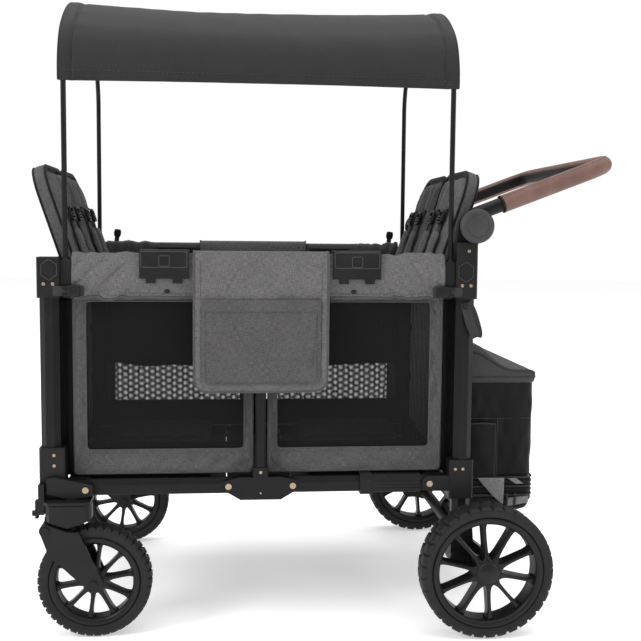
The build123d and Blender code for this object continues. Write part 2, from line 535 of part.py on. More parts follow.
top_hinge = lug_pair(CENTRE_PIVOT_X, TOP_PIVOT_Z, 30, POST_Y, TONGUE / 2 + BODY_GAP,
                     LUG_THICK, LUG_RADIUS)
top_hinge = top_hinge + mirror(top_hinge, Plane.YZ)
lug_reach = TONGUE / 2 + BODY_GAP + LUG_THICK
top_hinge = top_hinge + block(-36, 36, -POST_Y - lug_reach, -POST_Y + lug_reach,
                              hinge_block_z0, TOP_PIVOT_Z + LUG_RADIUS)
top_hinge = top_hinge + block(-14, 14, post_y0, -POST_Y, hinge_block_z0, TOP_PIVOT_Z + 8)
nodes["centre_top_hinges"] = pair(top_hinge)

beam_half = plate_in_y - PLATE_THICK - SLIP
nodes["centre_beam"] = [block(-36, 36, -beam_half, beam_half, FLOOR_TOP_Z - FLOOR_THICK,
                              FLOOR_TOP_Z)]

# ---- top rails and their cloth clamps ------------------------------------------------------
tube_margin = 17.0


def top_rail():
    """A round tube with a flat tongue at each hinge."""
    tube = rod_x(-POST_Y, TOP_PIVOT_Z, CENTRE_PIVOT_X + tube_margin, END_PIVOT_X - tube_margin,
                 TOP_RAIL_RADIUS)
    tube = tube - rod_x(-POST_Y, TOP_PIVOT_Z, CENTRE_PIVOT_X + 40, END_PIVOT_X - 40,
                        TOP_RAIL_RADIUS - TUBE_WALL)
    flat = block(CENTRE_PIVOT_X, END_PIVOT_X, -POST_Y - TONGUE / 2, -POST_Y + TONGUE / 2,
                 TOP_PIVOT_Z - 9, TOP_PIVOT_Z + 9)
    flat = flat - block(CENTRE_PIVOT_X + 35, END_PIVOT_X - 35, -POST_Y - TONGUE, -POST_Y + TONGUE,
                        TOP_PIVOT_Z - 20, TOP_PIVOT_Z + 20)
    body = tube + flat
    for x in (CENTRE_PIVOT_X, END_PIVOT_X):
        body = body + rod_y(x, TOP_PIVOT_Z, -POST_Y - TONGUE / 2, -POST_Y + TONGUE / 2, 9)
    for x in (CENTRE_PIVOT_X, END_PIVOT_X):
        body = body - rod_y(x, TOP_PIVOT_Z, -POST_Y - TONGUE, -POST_Y + TONGUE,
                            BOLT_RADIUS + RUNNING)
    return body


rail = top_rail()
nodes["rear_top_rails"] = pair(rail)
nodes["front_top_rails"] = front_of(pair(rail))

SLEEVE_HALF = 15.2        # cloth sleeve around the top rail
SLEEVE_TOP_Z = TOP_PIVOT_Z + 28.0
SLEEVE_BOTTOM_Z = TOP_PIVOT_Z - 66.0
CLAMP_X0 = 137.0
CLAMP_X1 = 229.0
CLAMP_THICK = 5.5
clamp_out = SLEEVE_HALF + 0.4
clamp = block(CLAMP_X0, CLAMP_X1, -POST_Y - clamp_out - CLAMP_THICK,
              -POST_Y + clamp_out + CLAMP_THICK, TOP_PIVOT_Z - 20, SLEEVE_TOP_Z + 6)
clamp = chamfer(clamp.edges().filter_by(Axis.X).group_by(Axis.Z)[-1], 4)
for x in (CLAMP_X0 + 12, CLAMP_X1 - 30):
    clamp = clamp + block(x, x + 18, -POST_Y - clamp_out - CLAMP_THICK + 1, -POST_Y - clamp_out,
                          TOP_PIVOT_Z - 29, TOP_PIVOT_Z - 15)
clamp = clamp - block(CLAMP_X0 - 1, CLAMP_X1 + 1, -POST_Y - clamp_out, -POST_Y + clamp_out,
                      TOP_PIVOT_Z - 40, SLEEVE_TOP_Z + 0.4)
nodes["rear_rail_clamps"] = pair(clamp)
nodes["front_rail_clamps"] = front_of(pair(clamp))

# ---- side panels: cloth sleeve over the top rail with the wall hanging from it --------------
PANEL_IN_X = 16.0
PANEL_OUT_X = POLE_X - POLE_RADIUS - SOCKET_WALL - 4.5
PANEL_BOTTOM_Z = BOTTOM_PIVOT_Z + RAIL_HEIGHT / 2 + COLLAR_WALL + 1.5
CHANNEL_HALF = lug_reach + BOLT_HEAD + BODY_GAP
sleeve = block(PANEL_IN_X, PANEL_OUT_X, -POST_Y - SLEEVE_HALF, -POST_Y + SLEEVE_HALF,
               SLEEVE_BOTTOM_Z, SLEEVE_TOP_Z)
sleeve = fillet(sleeve.edges().filter_by(Axis.X).group_by(Axis.Z)[-1], 12)
sleeve = sleeve + block(PANEL_IN_X, PANEL_OUT_X, -POST_Y - 2, -POST_Y + 3,
                        PANEL_BOTTOM_Z, SLEEVE_BOTTOM_Z + 1)
channel = block(PANEL_IN_X - 1, PANEL_OUT_X + 1, -POST_Y - CHANNEL_HALF,
                -POST_Y + CHANNEL_HALF, SLEEVE_BOTTOM_Z + 6, TOP_PIVOT_Z + 14)
panel = sleeve - channel
panel = panel - block(PANEL_OUT_X - 30, PANEL_OUT_X + 1, -POST_Y - CHANNEL_HALF,
                      -POST_Y + CHANNEL_HALF, SLEEVE_BOTTOM_Z - 1, SLEEVE_BOTTOM_Z + 7)
nodes["rear_side_panels"] = pair(panel)
nodes["front_side_panels"] = front_of(pair(panel))

# ---- centre pockets: a cloth flap over the sleeve with a pocket on it -----------------------
POCKET_HALF = 127.0
POCKET_BOTTOM_Z = 465.0
POCKET_MOUTH_Z = 641.0
POCKET_SLOT = 5.0         # room inside the pocket
POCKET_CLOTH = 2.0
POCKET_CORNER = 26.0
pocket_in = BRACKET_OUT_Y + 3.0
flap_out = pocket_in + POCKET_CLOTH
pocket_out = flap_out + POCKET_SLOT + POCKET_CLOTH


def rounded_sheet(half, z0, z1, y0, y1, corner):
    """An upright sheet from y0 to y1 with its two bottom corners rounded."""
    sheet = block(-half, half, y0, y1, z0, z1)
    return fillet(sheet.edges().filter_by(Axis.Y).group_by(Axis.Z)[0], corner)


flap = rounded_sheet(POCKET_HALF, POCKET_BOTTOM_Z, SLEEVE_TOP_Z + 5, -flap_out, -pocket_in,
                     POCKET_CORNER)
pouch = rounded_sheet(POCKET_HALF, POCKET_BOTTOM_Z, POCKET_MOUTH_Z, -pocket_out, -flap_out,
                      POCKET_CORNER)
pouch = pouch - rounded_sheet(POCKET_HALF - POCKET_CLOTH, POCKET_BOTTOM_Z + POCKET_CLOTH,
                              POCKET_MOUTH_Z + 1, -flap_out - POCKET_SLOT, -flap_out,
                              POCKET_CORNER - POCKET_CLOTH)
over_sleeve = block(-POCKET_HALF, POCKET_HALF, -flap_out, -POST_Y + SLEEVE_HALF,
                    SLEEVE_TOP_Z + 1, SLEEVE_TOP_Z + 5)
pocket = flap + pouch + over_sleeve
nodes["side_pockets"] = pair(pocket)


# ---- bolts and rivets ----------------------------------------------------------------------
def head(x, z, y_face, radius=3.4, height=1.8):
    """A domed head standing on a face that looks towards -Y."""
    dome = Rot(90, 0, 0) * Cylinder(radius, height)
    dome = fillet(dome.edges().group_by(Axis.Y)[0], height * 0.7)
    return Pos(x, -y_face - height / 2, z) * dome


def hinge_bolt(x, z, y_in, y_out):
    """A bolt through both plates of a hinge, with a head at each end."""
    shank = rod_y(x, z, -y_out - BOLT_HEAD, -y_in + BOLT_HEAD, BOLT_RADIUS)
    outer_head = rod_y(x, z, -y_out - BOLT_HEAD, -y_out, 6)
    return shank + outer_head + rod_y(x, z, -y_in, -y_in + BOLT_HEAD, 6)


rail_bolt_in = plate_in_y - PLATE_THICK
rail_bolt_out = plate_out_y + PLATE_THICK
lug_in = POST_Y - lug_reach
lug_out = POST_Y + lug_reach
upper_rivets = [head(x, UPPER_BOTTOM_Z + 26, BRACKET_OUT_Y) for x in (POST_X - 9, POST_X + 8)]
rear_set = upper_rivets + [
    head(POST_X + 3, UPPER_TOP_Z + 17, BRACKET_OUT_Y),
    head(POST_X - 15, BOTTOM_PIVOT_Z + 28, BRACKET_OUT_Y),
    head(POST_X, BOTTOM_PIVOT_Z + 28, BRACKET_OUT_Y),
    hinge_bolt(END_PIVOT_X, BOTTOM_PIVOT_Z, rail_bolt_in, rail_bolt_out),
    hinge_bolt(END_PIVOT_X, TOP_PIVOT_Z, lug_in, lug_out)]
front_set = [mirror(s, Plane.YZ) for s in upper_rivets + [
    head(POST_X - 7, FRONT_LOWER_TOP_Z - 14, BRACKET_OUT_Y),
    head(POST_X - 7, FRONT_LOWER_TOP_Z - 34, BRACKET_OUT_Y),
    hinge_bolt(END_PIVOT_X, BOTTOM_PIVOT_Z, rail_bolt_in, hex_out),
    hinge_bolt(END_PIVOT_X, TOP_PIVOT_Z, lug_in, lug_out)]]
centre_set = [head(0, BOTTOM_PIVOT_Z - 14, rail_bolt_out, 2.2),
              head(0, centre_post_z0 + 10, -post_y0 + 2)]
for x in (-CENTRE_PIVOT_X, CENTRE_PIVOT_X):
    centre_set.append(hinge_bolt(x, BOTTOM_PIVOT_Z, rail_bolt_in, rail_bolt_out))
    centre_set.append(hinge_bolt(x, TOP_PIVOT_Z, lug_in, lug_out))
nodes["rear_bolts"] = pair(*rear_set)
nodes["front_bolts"] = pair(*front_set)
nodes["centre_bolts"] = pair(*centre_set)

# ---- push handle ---------------------------------------------------------------------------
HUB_RADIUS = 26.0
HOUSING_RADIUS = 28.0
CAP_RADIUS = 33.0
PIVOT_PIN_RADIUS = 5.0
hub_in = HANDLE_ARM_Y - HANDLE_RADIUS - 1.0
hub_out = HANDLE_ARM_Y + HANDLE_RADIUS + 1.0
housing_in = POST_IN_Y + 1.0
housing_out = hub_in - BODY_GAP

mount_z0 = UPPER_TOP_Z + SLIP
mount_z1 = REAR_POST_TOP + 7.0
neck = block(BRACKET_IN_X + 1, BRACKET_OUT_X, -BRACKET_OUT_Y, -BRACKET_IN_Y, mount_z0, mount_z1)
neck = upright_edges(neck, 3)
neck = neck + slab([(BRACKET_IN_X + 3, mount_z0 + 10), (BRACKET_OUT_X, mount_z0 + 10),
                    (HANDLE_PIVOT_X + HOUSING_RADIUS - 6, HANDLE_PIVOT_Z),
                    (HANDLE_PIVOT_X - HOUSING_RADIUS, HANDLE_PIVOT_Z)], -housing_out, -housing_in)
neck = neck + rod_y(HANDLE_PIVOT_X, HANDLE_PIVOT_Z, -housing_out, -housing_in, HOUSING_RADIUS)
neck = neck - octagon(POST_X, -POST_Y, mount_z0 - 1, REAR_POST_TOP + SLIP, POST_SIZE + 2 * SLIP)
neck = neck + rod_y(HANDLE_PIVOT_X, HANDLE_PIVOT_Z, -hub_out + 6, -housing_in, PIVOT_PIN_RADIUS)
nodes["handle_mounts"] = pair(neck)

tilt = Pos(HANDLE_PIVOT_X, 0, HANDLE_PIVOT_Z) * Rot(0, -HANDLE_TILT, 0)


def handle_tube(start, radius):
    """The U-shaped run of the handle from one arm, round the cross bar, to the other arm."""
    path = FilletPolyline((start, -HANDLE_ARM_Y, HANDLE_OFFSET),
                          (HANDLE_REACH, -HANDLE_ARM_Y, HANDLE_OFFSET),
                          (HANDLE_REACH, HANDLE_ARM_Y, HANDLE_OFFSET),
                          (start, HANDLE_ARM_Y, HANDLE_OFFSET), radius=HANDLE_CORNER_RADIUS)
    profile = Plane(origin=(start, -HANDLE_ARM_Y, HANDLE_OFFSET), z_dir=(1, 0, 0)) * Circle(radius)
    return sweep(profile, path)


bar = handle_tube(4.0, HANDLE_RADIUS)
for side in (-1, 1):
    bar = bar + rod_y(0, 0, side * hub_in, side * hub_out, HUB_RADIUS)
bar = bar - handle_tube(0.0, HANDLE_RADIUS - TUBE_WALL)
for side in (-1, 1):
    bar = bar - rod_y(0, 0, side * (hub_in - 1), side * (hub_out - 5),
                      PIVOT_PIN_RADIUS + RUNNING)
grip = handle_tube(GRIP_START, HANDLE_RADIUS + GRIP_THICKNESS) - handle_tube(
    GRIP_START - 1, HANDLE_RADIUS + SLIP)
disc = Pos(0, -hub_out - SLIP - 6.5, 0) * Rot(90, 0, 0) * Cylinder(CAP_RADIUS, 13)
disc = chamfer(disc.edges().group_by(Axis.Y)[0], 6)
nodes["handle_bar"] = [tilt * bar]
nodes["handle_grip"] = [tilt * grip]
nodes["handle_caps"] = pair(tilt * disc)

# ---- canopy --------------------------------------------------------------------------------
TOP_ARC_RADIUS = ((POLE_Y - ARCH_CORNER_RADIUS) ** 2 + ARCH_RISE ** 2
                  - ARCH_CORNER_RADIUS ** 2) / (2 * (ARCH_RISE - ARCH_CORNER_RADIUS))


def arch_edges(x, grow, foot_z):
    """Straight legs, tight corners and a flat crown, all tangent, moved outwards by grow."""
    corner_y = POLE_Y - ARCH_CORNER_RADIUS
    crown_z = ARCH_BASE_Z + ARCH_RISE - TOP_ARC_RADIUS
    reach = hypot(corner_y, ARCH_BASE_Z - crown_z)
    out_y, out_z = corner_y / reach, (ARCH_BASE_Z - crown_z) / reach
    small, large = ARCH_CORNER_RADIUS + grow, TOP_ARC_RADIUS + grow
    half_y, half_z = (1 + out_y) / 2, out_z / 2
    length = hypot(half_y, half_z)
    side_y = POLE_Y + grow
    join = (corner_y + small * out_y, ARCH_BASE_Z + small * out_z)
    bend = (corner_y + small * half_y / length, ARCH_BASE_Z + small * half_z / length)
    top = (0.0, crown_z + large)

    def at(y, z):
        return Vector(x, y, z)
    return [Edge.make_line(at(-side_y, foot_z), at(-side_y, ARCH_BASE_Z)),
            Edge.make_three_point_arc(at(-side_y, ARCH_BASE_Z), at(-bend[0], bend[1]),
                                      at(-join[0], join[1])),
            Edge.make_three_point_arc(at(-join[0], join[1]), at(*top), at(*join)),
            Edge.make_three_point_arc(at(*join), at(*bend), at(side_y, ARCH_BASE_Z)),
            Edge.make_line(at(side_y, ARCH_BASE_Z), at(side_y, foot_z))]


def bow(x):
    path = Wire(arch_edges(x, 0.0, SOCKET_BOTTOM_Z + BODY_GAP))
    profile = Plane(origin=(x, -POLE_Y, SOCKET_BOTTOM_Z + BODY_GAP), z_dir=(0, 0, 1)) * Circle(
        POLE_RADIUS)
    return sweep(profile, path)


def arch_prism(x0, x1, grow):
    """Everything under the arch, from the pole feet up, between two ends."""
    edges = arch_edges(x0, grow, ARCH_BASE_Z - 60)
    side_y = POLE_Y + grow
    edges.append(Edge.make_line(Vector(x0, side_y, ARCH_BASE_Z - 60),
                                Vector(x0, -side_y, ARCH_BASE_Z - 60)))
    return Solid.extrude(Face(Wire(edges)), Vector(x1 - x0, 0, 0))


CANOPY_IN = POLE_RADIUS + 0.6
CANOPY_OUT = CANOPY_IN + 3.0
CANOPY_END_X = POLE_X + 9.0
canopy = arch_prism(-CANOPY_END_X, CANOPY_END_X, CANOPY_OUT) - arch_prism(
    -CANOPY_END_X - 1, CANOPY_END_X + 1, CANOPY_IN)
canopy = canopy - block(-500, 500, -400, 0, 900, CANOPY_NEAR_Z)
canopy = canopy - block(-500, 500, 0, 400, 900, CANOPY_FAR_Z)
nodes["front_bow"] = [bow(-POLE_X)]
nodes["rear_bow"] = [bow(POLE_X)]
nodes["canopy"] = [canopy]

# ---- seat backs ----------------------------------------------------------------------------
seat_middle = -(SEAT_INNER_Y + SEAT_OUTER_Y) / 2
seat_half = (SEAT_OUTER_Y - SEAT_INNER_Y) / 2
seat = Pos(0, seat_middle, SEAT_HEIGHT / 2) * Box(SEAT_THICKNESS, 2 * seat_half, SEAT_HEIGHT)
seat = fillet(seat.edges().filter_by(Axis.X).group_by(Axis.Z)[-1], 62)
seat = seat + rod_y(0, 0, seat_middle - seat_half, seat_middle + seat_half, SEAT_THICKNESS / 2)
seat = seat - rod_y(0, 0, seat_middle - seat_half - 1, seat_middle + seat_half + 1,
                    HINGE_ROD_RADIUS + RUNNING)
seat = Pos(SEAT_HINGE_X, 0, SEAT_HINGE_Z) * Rot(0, SEAT_RECLINE, 0) * seat
nodes["seat_back_rear_near"] = [seat]
nodes["seat_back_rear_far"] = [far_of(seat)]
nodes["seat_back_front_near"] = front_of([seat])
nodes["seat_back_front_far"] = [far_of(nodes["seat_back_front_near"][0])]

# ---- storage bag ---------------------------------------------------------------------------
bag_x0 = POST_X + CROSS_RADIUS + 1.5
bag_x1 = bag_x0 + BAG_DEPTH
bag = block(bag_x0, bag_x1, -BAG_HALF_WIDTH, BAG_HALF_WIDTH, BAG_BOTTOM_Z, BAG_RIM_Z)
bag = fillet(bag.edges().filter_by(Axis.Z), 16)
bag = bag - block(bag_x0 + CLOTH_WALL, bag_x1 - CLOTH_WALL, -BAG_HALF_WIDTH + CLOTH_WALL,
                  BAG_HALF_WIDTH - CLOTH_WALL, BAG_BOTTOM_Z + CLOTH_WALL, BAG_RIM_Z + 1)
nodes["storage_bag"] = [bag]

LID_ROUND = 3.0           # rolled back edge, which the lid turns about
LID_HINGE_X = bag_x0 + LID_ROUND
LID_HINGE_Z = LID_TOP_Z - LID_ROUND
lid_z0 = BAG_RIM_Z + BODY_GAP
lid_outline = [(bag_x0, lid_z0), (bag_x0, LID_TOP_Z), (bag_x0 + 28, LID_TOP_Z),
               (bag_x1 - 10, lid_z0 + 16), (bag_x1, lid_z0 + 8), (bag_x1, lid_z0)]
lid = slab(lid_outline, -BAG_HALF_WIDTH, BAG_HALF_WIDTH)
lid = fillet(lid.edges().filter_by(Axis.Y).sort_by(Axis.X)[:2].sort_by(Axis.Z)[-1], LID_ROUND)
lid_inner = [(bag_x0 + 6, lid_z0 - 1), (bag_x0 + 6, LID_TOP_Z - 6), (bag_x0 + 26, LID_TOP_Z - 6),
             (bag_x1 - 14, lid_z0 + 10), (bag_x1 - 6, lid_z0 + 4), (bag_x1 - 6, lid_z0 - 1)]
lid = lid - slab(lid_inner, -BAG_HALF_WIDTH + 6, BAG_HALF_WIDTH - 6)
nodes["storage_bag_lid"] = [lid]

# ---- wrist loop on the near rear post ------------------------------------------------------
loop_y0 = -BRACKET_OUT_Y - 3.0
loop = slab([(POST_X - 12, UPPER_BOTTOM_Z - 4), (POST_X + 10, UPPER_BOTTOM_Z - 4),
             (POST_X + 32, UPPER_BOTTOM_Z - 66), (POST_X + 26, UPPER_BOTTOM_Z - 74),
             (POST_X + 10, UPPER_BOTTOM_Z - 72)], loop_y0 - 2.5, loop_y0)
loop = loop + rod_y(POST_X - 2, UPPER_BOTTOM_Z - 12, loop_y0, -POST_Y - POST_SIZE / 2, 4)
nodes["wrist_loop"] = [loop]

# ---- move the origin to the middle of the base and write every node -------------------------
whole = Compound(children=[Compound(children=list(shapes)) for shapes in nodes.values()])
box = whole.bounding_box()
SHIFT_X = -(box.min.X + box.max.X) / 2
SHIFT_Z = -box.min.Z

os.makedirs("parts", exist_ok=True)
for name, shapes in nodes.items():
    solids = [solid for shape in shapes for solid in shape.solids()]
    moved = [Pos(SHIFT_X, 0, SHIFT_Z) * solid for solid in solids]
    export_step(moved[0] if len(moved) == 1 else Compound(children=moved), f"parts/{name}.step")
print(len(nodes), "nodes, shift", round(SHIFT_X, 3), round(SHIFT_Z, 3), "size", box.size)
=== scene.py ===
import json
from math import cos, pi, radians, sin

import bmesh
import bpy
import numpy as np
from mathutils import Matrix, Vector

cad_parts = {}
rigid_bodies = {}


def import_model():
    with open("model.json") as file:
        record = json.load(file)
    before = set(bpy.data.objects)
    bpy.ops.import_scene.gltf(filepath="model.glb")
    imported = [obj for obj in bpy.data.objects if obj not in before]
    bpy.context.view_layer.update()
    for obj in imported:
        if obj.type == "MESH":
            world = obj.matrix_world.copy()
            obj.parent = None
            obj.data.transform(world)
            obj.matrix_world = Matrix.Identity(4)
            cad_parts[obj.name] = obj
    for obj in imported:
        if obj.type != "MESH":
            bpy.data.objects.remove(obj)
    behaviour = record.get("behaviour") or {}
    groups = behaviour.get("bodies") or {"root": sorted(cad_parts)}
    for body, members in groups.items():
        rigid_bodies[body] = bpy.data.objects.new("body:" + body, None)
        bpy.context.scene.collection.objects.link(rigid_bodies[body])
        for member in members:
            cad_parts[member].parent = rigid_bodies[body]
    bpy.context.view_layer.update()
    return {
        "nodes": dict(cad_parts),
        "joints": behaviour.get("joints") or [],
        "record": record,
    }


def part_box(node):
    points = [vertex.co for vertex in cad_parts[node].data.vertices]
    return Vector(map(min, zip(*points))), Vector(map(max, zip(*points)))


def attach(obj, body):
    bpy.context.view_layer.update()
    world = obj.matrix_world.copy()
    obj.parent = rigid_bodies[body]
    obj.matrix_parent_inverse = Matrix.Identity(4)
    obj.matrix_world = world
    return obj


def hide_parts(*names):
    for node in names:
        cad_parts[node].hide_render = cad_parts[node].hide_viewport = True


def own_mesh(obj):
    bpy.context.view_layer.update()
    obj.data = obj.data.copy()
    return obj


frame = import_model()

# ---- places in the wagon -------------------------------------------------------------------
# Lengths are metres.  Shapes are worked out in the wagon's own frame, where x = 0 is the
# centre fold, and are moved by FOLD_X when their mesh is made.
FOLD_X = (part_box("centre_plates")[0].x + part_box("centre_plates")[1].x) / 2
NEAR, FAR = -1, 1
REAR, FRONT = 1, -1
SIDES = {"near": NEAR, "far": FAR}
ENDS = {"rear": REAR, "front": FRONT}


def extent(node):
    """A node's lowest and highest corner, with x measured from the centre fold."""
    low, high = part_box(node)
    shift = Vector((FOLD_X, 0, 0))
    return np.array(low - shift), np.array(high - shift)


joint_place = {j["name"]: np.array(j["pos_m"]) - (FOLD_X, 0, 0)
               for j in frame["joints"] if "pos_m" in j}

panel_low, panel_high = extent("rear_side_panels")
rail_low, rail_high = extent("rear_top_rails")
clamp_low, clamp_high = extent("rear_rail_clamps")
wall_low, wall_high = extent("rear_end_wall")
RAIL_Z = (rail_low[2] + rail_high[2]) / 2
RAIL_Y = rail_high[1] - (rail_high[2] - rail_low[2]) / 2
WALL_Y = RAIL_Y - 0.0085         # the tub's cloth walls hang inside the bottom rails


# ---- surfaces ------------------------------------------------------------------------------
def crumple(u, v, seed, size, waves=7):
    """Soft folds from -1 to 1: sine waves of about one size, in directions drawn from seed."""
    draw = np.random.default_rng(seed)
    total = 0.0
    for _ in range(waves):
        turn, phase = draw.uniform(0, 2 * pi, 2)
        pitch = size * draw.uniform(0.6, 1.5)
        total = total + np.sin((u * cos(turn) + v * sin(turn)) * 2 * pi / pitch + phase)
    return total / waves ** 0.5 / 1.4


def crease(u, v, seed, size):
    """Narrow crease lines from 0 to 1: high where soft folds pass through zero."""
    return (1 - np.minimum(np.abs(crumple(u, v, seed, size)) * 1.6, 1)) ** 3


def swell(x, low, high, soft):
    """1 between low and high, falling smoothly to 0 over soft on either side."""
    t = np.clip(np.minimum(x - low, high - x) / soft + 1, 0, 1)
    return t * t * (3 - 2 * t)


def through(points, count):
    """A smooth curve through the points: Catmull-Rom spans, evenly spaced in count steps."""
    p = np.asarray(points, float)
    p = np.vstack([2 * p[0] - p[1], p, 2 * p[-1] - p[-2]])
    t = np.linspace(0, 1, 24, endpoint=False)[:, None]
    spans = [0.5 * (2 * b + (c - a) * t + (2 * a - 5 * b + 4 * c - d) * t ** 2
                    + (3 * b - a - 3 * c + d) * t ** 3)
             for a, b, c, d in zip(p[:-3], p[1:-2], p[2:-1], p[3:])]
    return evenly(np.vstack([*spans, p[-2:-1]]), count)


def evenly(path, count):
    """The same line with count points, at equal steps along it."""
    steps = np.linalg.norm(np.diff(path, axis=0), axis=1)
    run = np.concatenate([[0], np.cumsum(steps)])
    at = np.linspace(0, run[-1], count)
    return np.stack([np.interp(at, run, path[:, k]) for k in range(path.shape[1])], 1)


def soft_corners(path, radius, turns=9):
    """An open run of straight lines with each corner rounded to an arc of that radius."""
    p = np.asarray(path, float)
    out = [p[0]]
    for before, corner, after in zip(p[:-2], p[1:-1], p[2:]):
        a = (before - corner) / np.linalg.norm(before - corner)
        b = (after - corner) / np.linalg.norm(after - corner)
        half = np.arccos(np.clip(a @ b, -1, 1)) / 2
        middle = (a + b) / np.linalg.norm(a + b)
        centre = corner + middle * radius / np.sin(half)
        start, end = corner + a * radius / np.tan(half), corner + b * radius / np.tan(half)
        for t in np.linspace(0, 1, turns):
            chord = start + (end - start) * t - centre
            out.append(centre + chord / np.linalg.norm(chord) * radius)
    out.append(p[-1])
    return np.array(out)


def rectangle(x0, x1, z0, z1, corner, per_side=24):
    """A closed run of points round a rectangle: each point is pulled onto rounded corners by
    clamping it to the core rectangle and standing it off by the corner's radius."""
    t = np.arange(per_side) / per_side
    one, zero = np.ones(per_side), np.zeros(per_side)
    across = np.concatenate([t, one, 1 - t, zero])
    upward = np.concatenate([zero, t, one, 1 - t])
    p = np.stack([x0 + (x1 - x0) * across, z0 + (z1 - z0) * upward], 1)
    if corner:
        core = np.clip(p, (x0 + corner, z0 + corner), (x1 - corner, z1 - corner))
        away = p - core
        p = core + away / np.maximum(np.linalg.norm(away, axis=1, keepdims=True), 1e-9) * corner
    return p


def oval(width, height, count, power=2.0):
    """A closed superellipse: cosine and sine raised to 2 / power, with their signs kept."""
    t = np.arange(count) / count * 2 * pi
    c, s = np.cos(t), np.sin(t)
    return np.stack([np.sign(c) * np.abs(c) ** (2 / power) * width,
                     np.sign(s) * np.abs(s) ** (2 / power) * height], 1)


def carry(path, section, side=(0, 1, 0), sizes=None, closed_ends=True):
    """A section carried along a path.  The section's first axis lies across both the path and
    side, and its second across the path and the first.  Closed ends shrink to their centre."""
    path, section = np.asarray(path, float), np.asarray(section, float)
    along = np.gradient(path, axis=0)
    along /= np.linalg.norm(along, axis=1, keepdims=True)
    first = np.cross(np.asarray(side, float), along)
    first /= np.maximum(np.linalg.norm(first, axis=1, keepdims=True), 1e-9)
    second = np.cross(along, first)
    size = np.ones(len(path)) if sizes is None else np.asarray(sizes, float)
    grid = (path[:, None] + size[:, None, None] * (section[None, :, 0, None] * first[:, None]
            + section[None, :, 1, None] * second[:, None]))
    if closed_ends:
        ends = [np.broadcast_to(path[k], grid.shape[1:])[None] for k in (0, -1)]
        grid = np.concatenate([ends[0], grid, ends[1]])
    return grid


def spun(profile, centre, count, y_sign=1):
    """A profile of (radius, y) turned about a line along y through the centre."""
    profile = np.asarray(profile, float)
    turn = np.arange(count) / count * 2 * pi
    x = centre[0] + profile[None, :, 0] * np.cos(turn)[:, None]
    z = centre[2] + profile[None, :, 0] * np.sin(turn)[:, None]
    y = np.broadcast_to(centre[1] + y_sign * profile[None, :, 1], x.shape)
    return np.stack([x, y, z], -1)


class Shape:
    """Grids of points gathered into one mesh.  Each quad keeps its own place on the cloth, in
    metres along and across its grid, as the mesh's UV map."""

    def __init__(self):
        self.points, self.quads, self.uvs, self.count = [], [], [], 0

    def grid(self, p, around=False, along=False, flat=None):
        """Joins p[i, j] to its neighbours.  around closes j and along closes i."""
        rows, cols = p.shape[:2]
        wide = np.concatenate([p, p[:1]]) if along else p
        wide = np.concatenate([wide, wide[:, :1]], 1) if around else wide
        if flat is None:
            u = np.concatenate([[0], np.cumsum(np.linalg.norm(np.diff(wide, axis=0), axis=2).mean(1))])
            v = np.concatenate([[0], np.cumsum(np.linalg.norm(np.diff(wide, axis=1), axis=2).mean(0))])
            u, v = np.meshgrid(u, v, indexing="ij")
        else:
            u, v = flat
        i, j = np.meshgrid(np.arange(wide.shape[0] - 1), np.arange(wide.shape[1] - 1),
                           indexing="ij")
        corners = [(i, j), (i, j + 1), (i + 1, j + 1), (i + 1, j)]
        quads = np.stack([(a % rows) * cols + b % cols for a, b in corners], -1)
        places = np.stack([np.stack([u[a, b], v[a, b]], -1) for a, b in corners], -2)
        self.points.append(p.reshape(-1, 3))
        self.quads.append(quads.reshape(-1, 4) + self.count)
        self.uvs.append(places.reshape(-1, 2))
        self.count += rows * cols
        return self

    def make(self, name, material, body, slot, thickness=0.0, replaces=()):
        """The mesh object, with its doubles merged and its faces turned outwards."""
        mesh = bpy.data.meshes.new(name)
        points = np.concatenate(self.points) + (FOLD_X, 0, 0)
        mesh.from_pydata(points, [], np.concatenate(self.quads))
        layer = mesh.uv_layers.new(name="cloth")
        layer.data.foreach_set("uv", np.concatenate(self.uvs).astype(np.float32).ravel())
        work = bmesh.new()
        work.from_mesh(mesh)
        bmesh.ops.remove_doubles(work, verts=work.verts, dist=1e-6)
        bmesh.ops.recalc_face_normals(work, faces=work.faces)
        work.to_mesh(mesh)
        work.free()
        mesh.validate()
        mesh.polygons.foreach_set("use_smooth", np.ones(len(mesh.polygons), bool))
        thing = bpy.data.objects.new(name, mesh)
        bpy.context.scene.collection.objects.link(thing)
        mesh.materials.append(material)
        if thickness:
            solid = thing.modifiers.new("cloth thickness", "SOLIDIFY")
            solid.thickness = thickness
            solid.offset = 0
            solid.use_even_offset = False
        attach(thing, body)
        if replaces:
            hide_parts(*replaces)
        return thing


def cut(thing, p, held, rests_on=()):
    """Takes a sheet of cloth and the grid of points it was cut to; the body is empty, so nothing is done."""


def mirrored(points, end=1, side=1):
    """Points worked out for the rear end and the far side, moved to the asked corner."""
    return points * np.array([end, side, 1.0])


def stitches(shape, path, side, length=0.0042, gap=0.0024, width=0.0005, lift=0.0004):
    """A row of short raised threads along a path, each a six-sided bead that tapers."""
    run = np.linalg.norm(np.diff(path, axis=0), axis=1).sum()
    number = max(2, int(run / (length + gap)))
    spots = evenly(path, number * 8 + 1)
    ring = oval(width, width * 0.8, 6)
    for k in range(number):
        span = spots[k * 8:k * 8 + 6]
        lifted = span + np.asarray(side) * lift
        shape.grid(carry(lifted, ring, side, sizes=(0.5, 0.9, 1, 1, 0.9, 0.5)), around=True)
    return shape


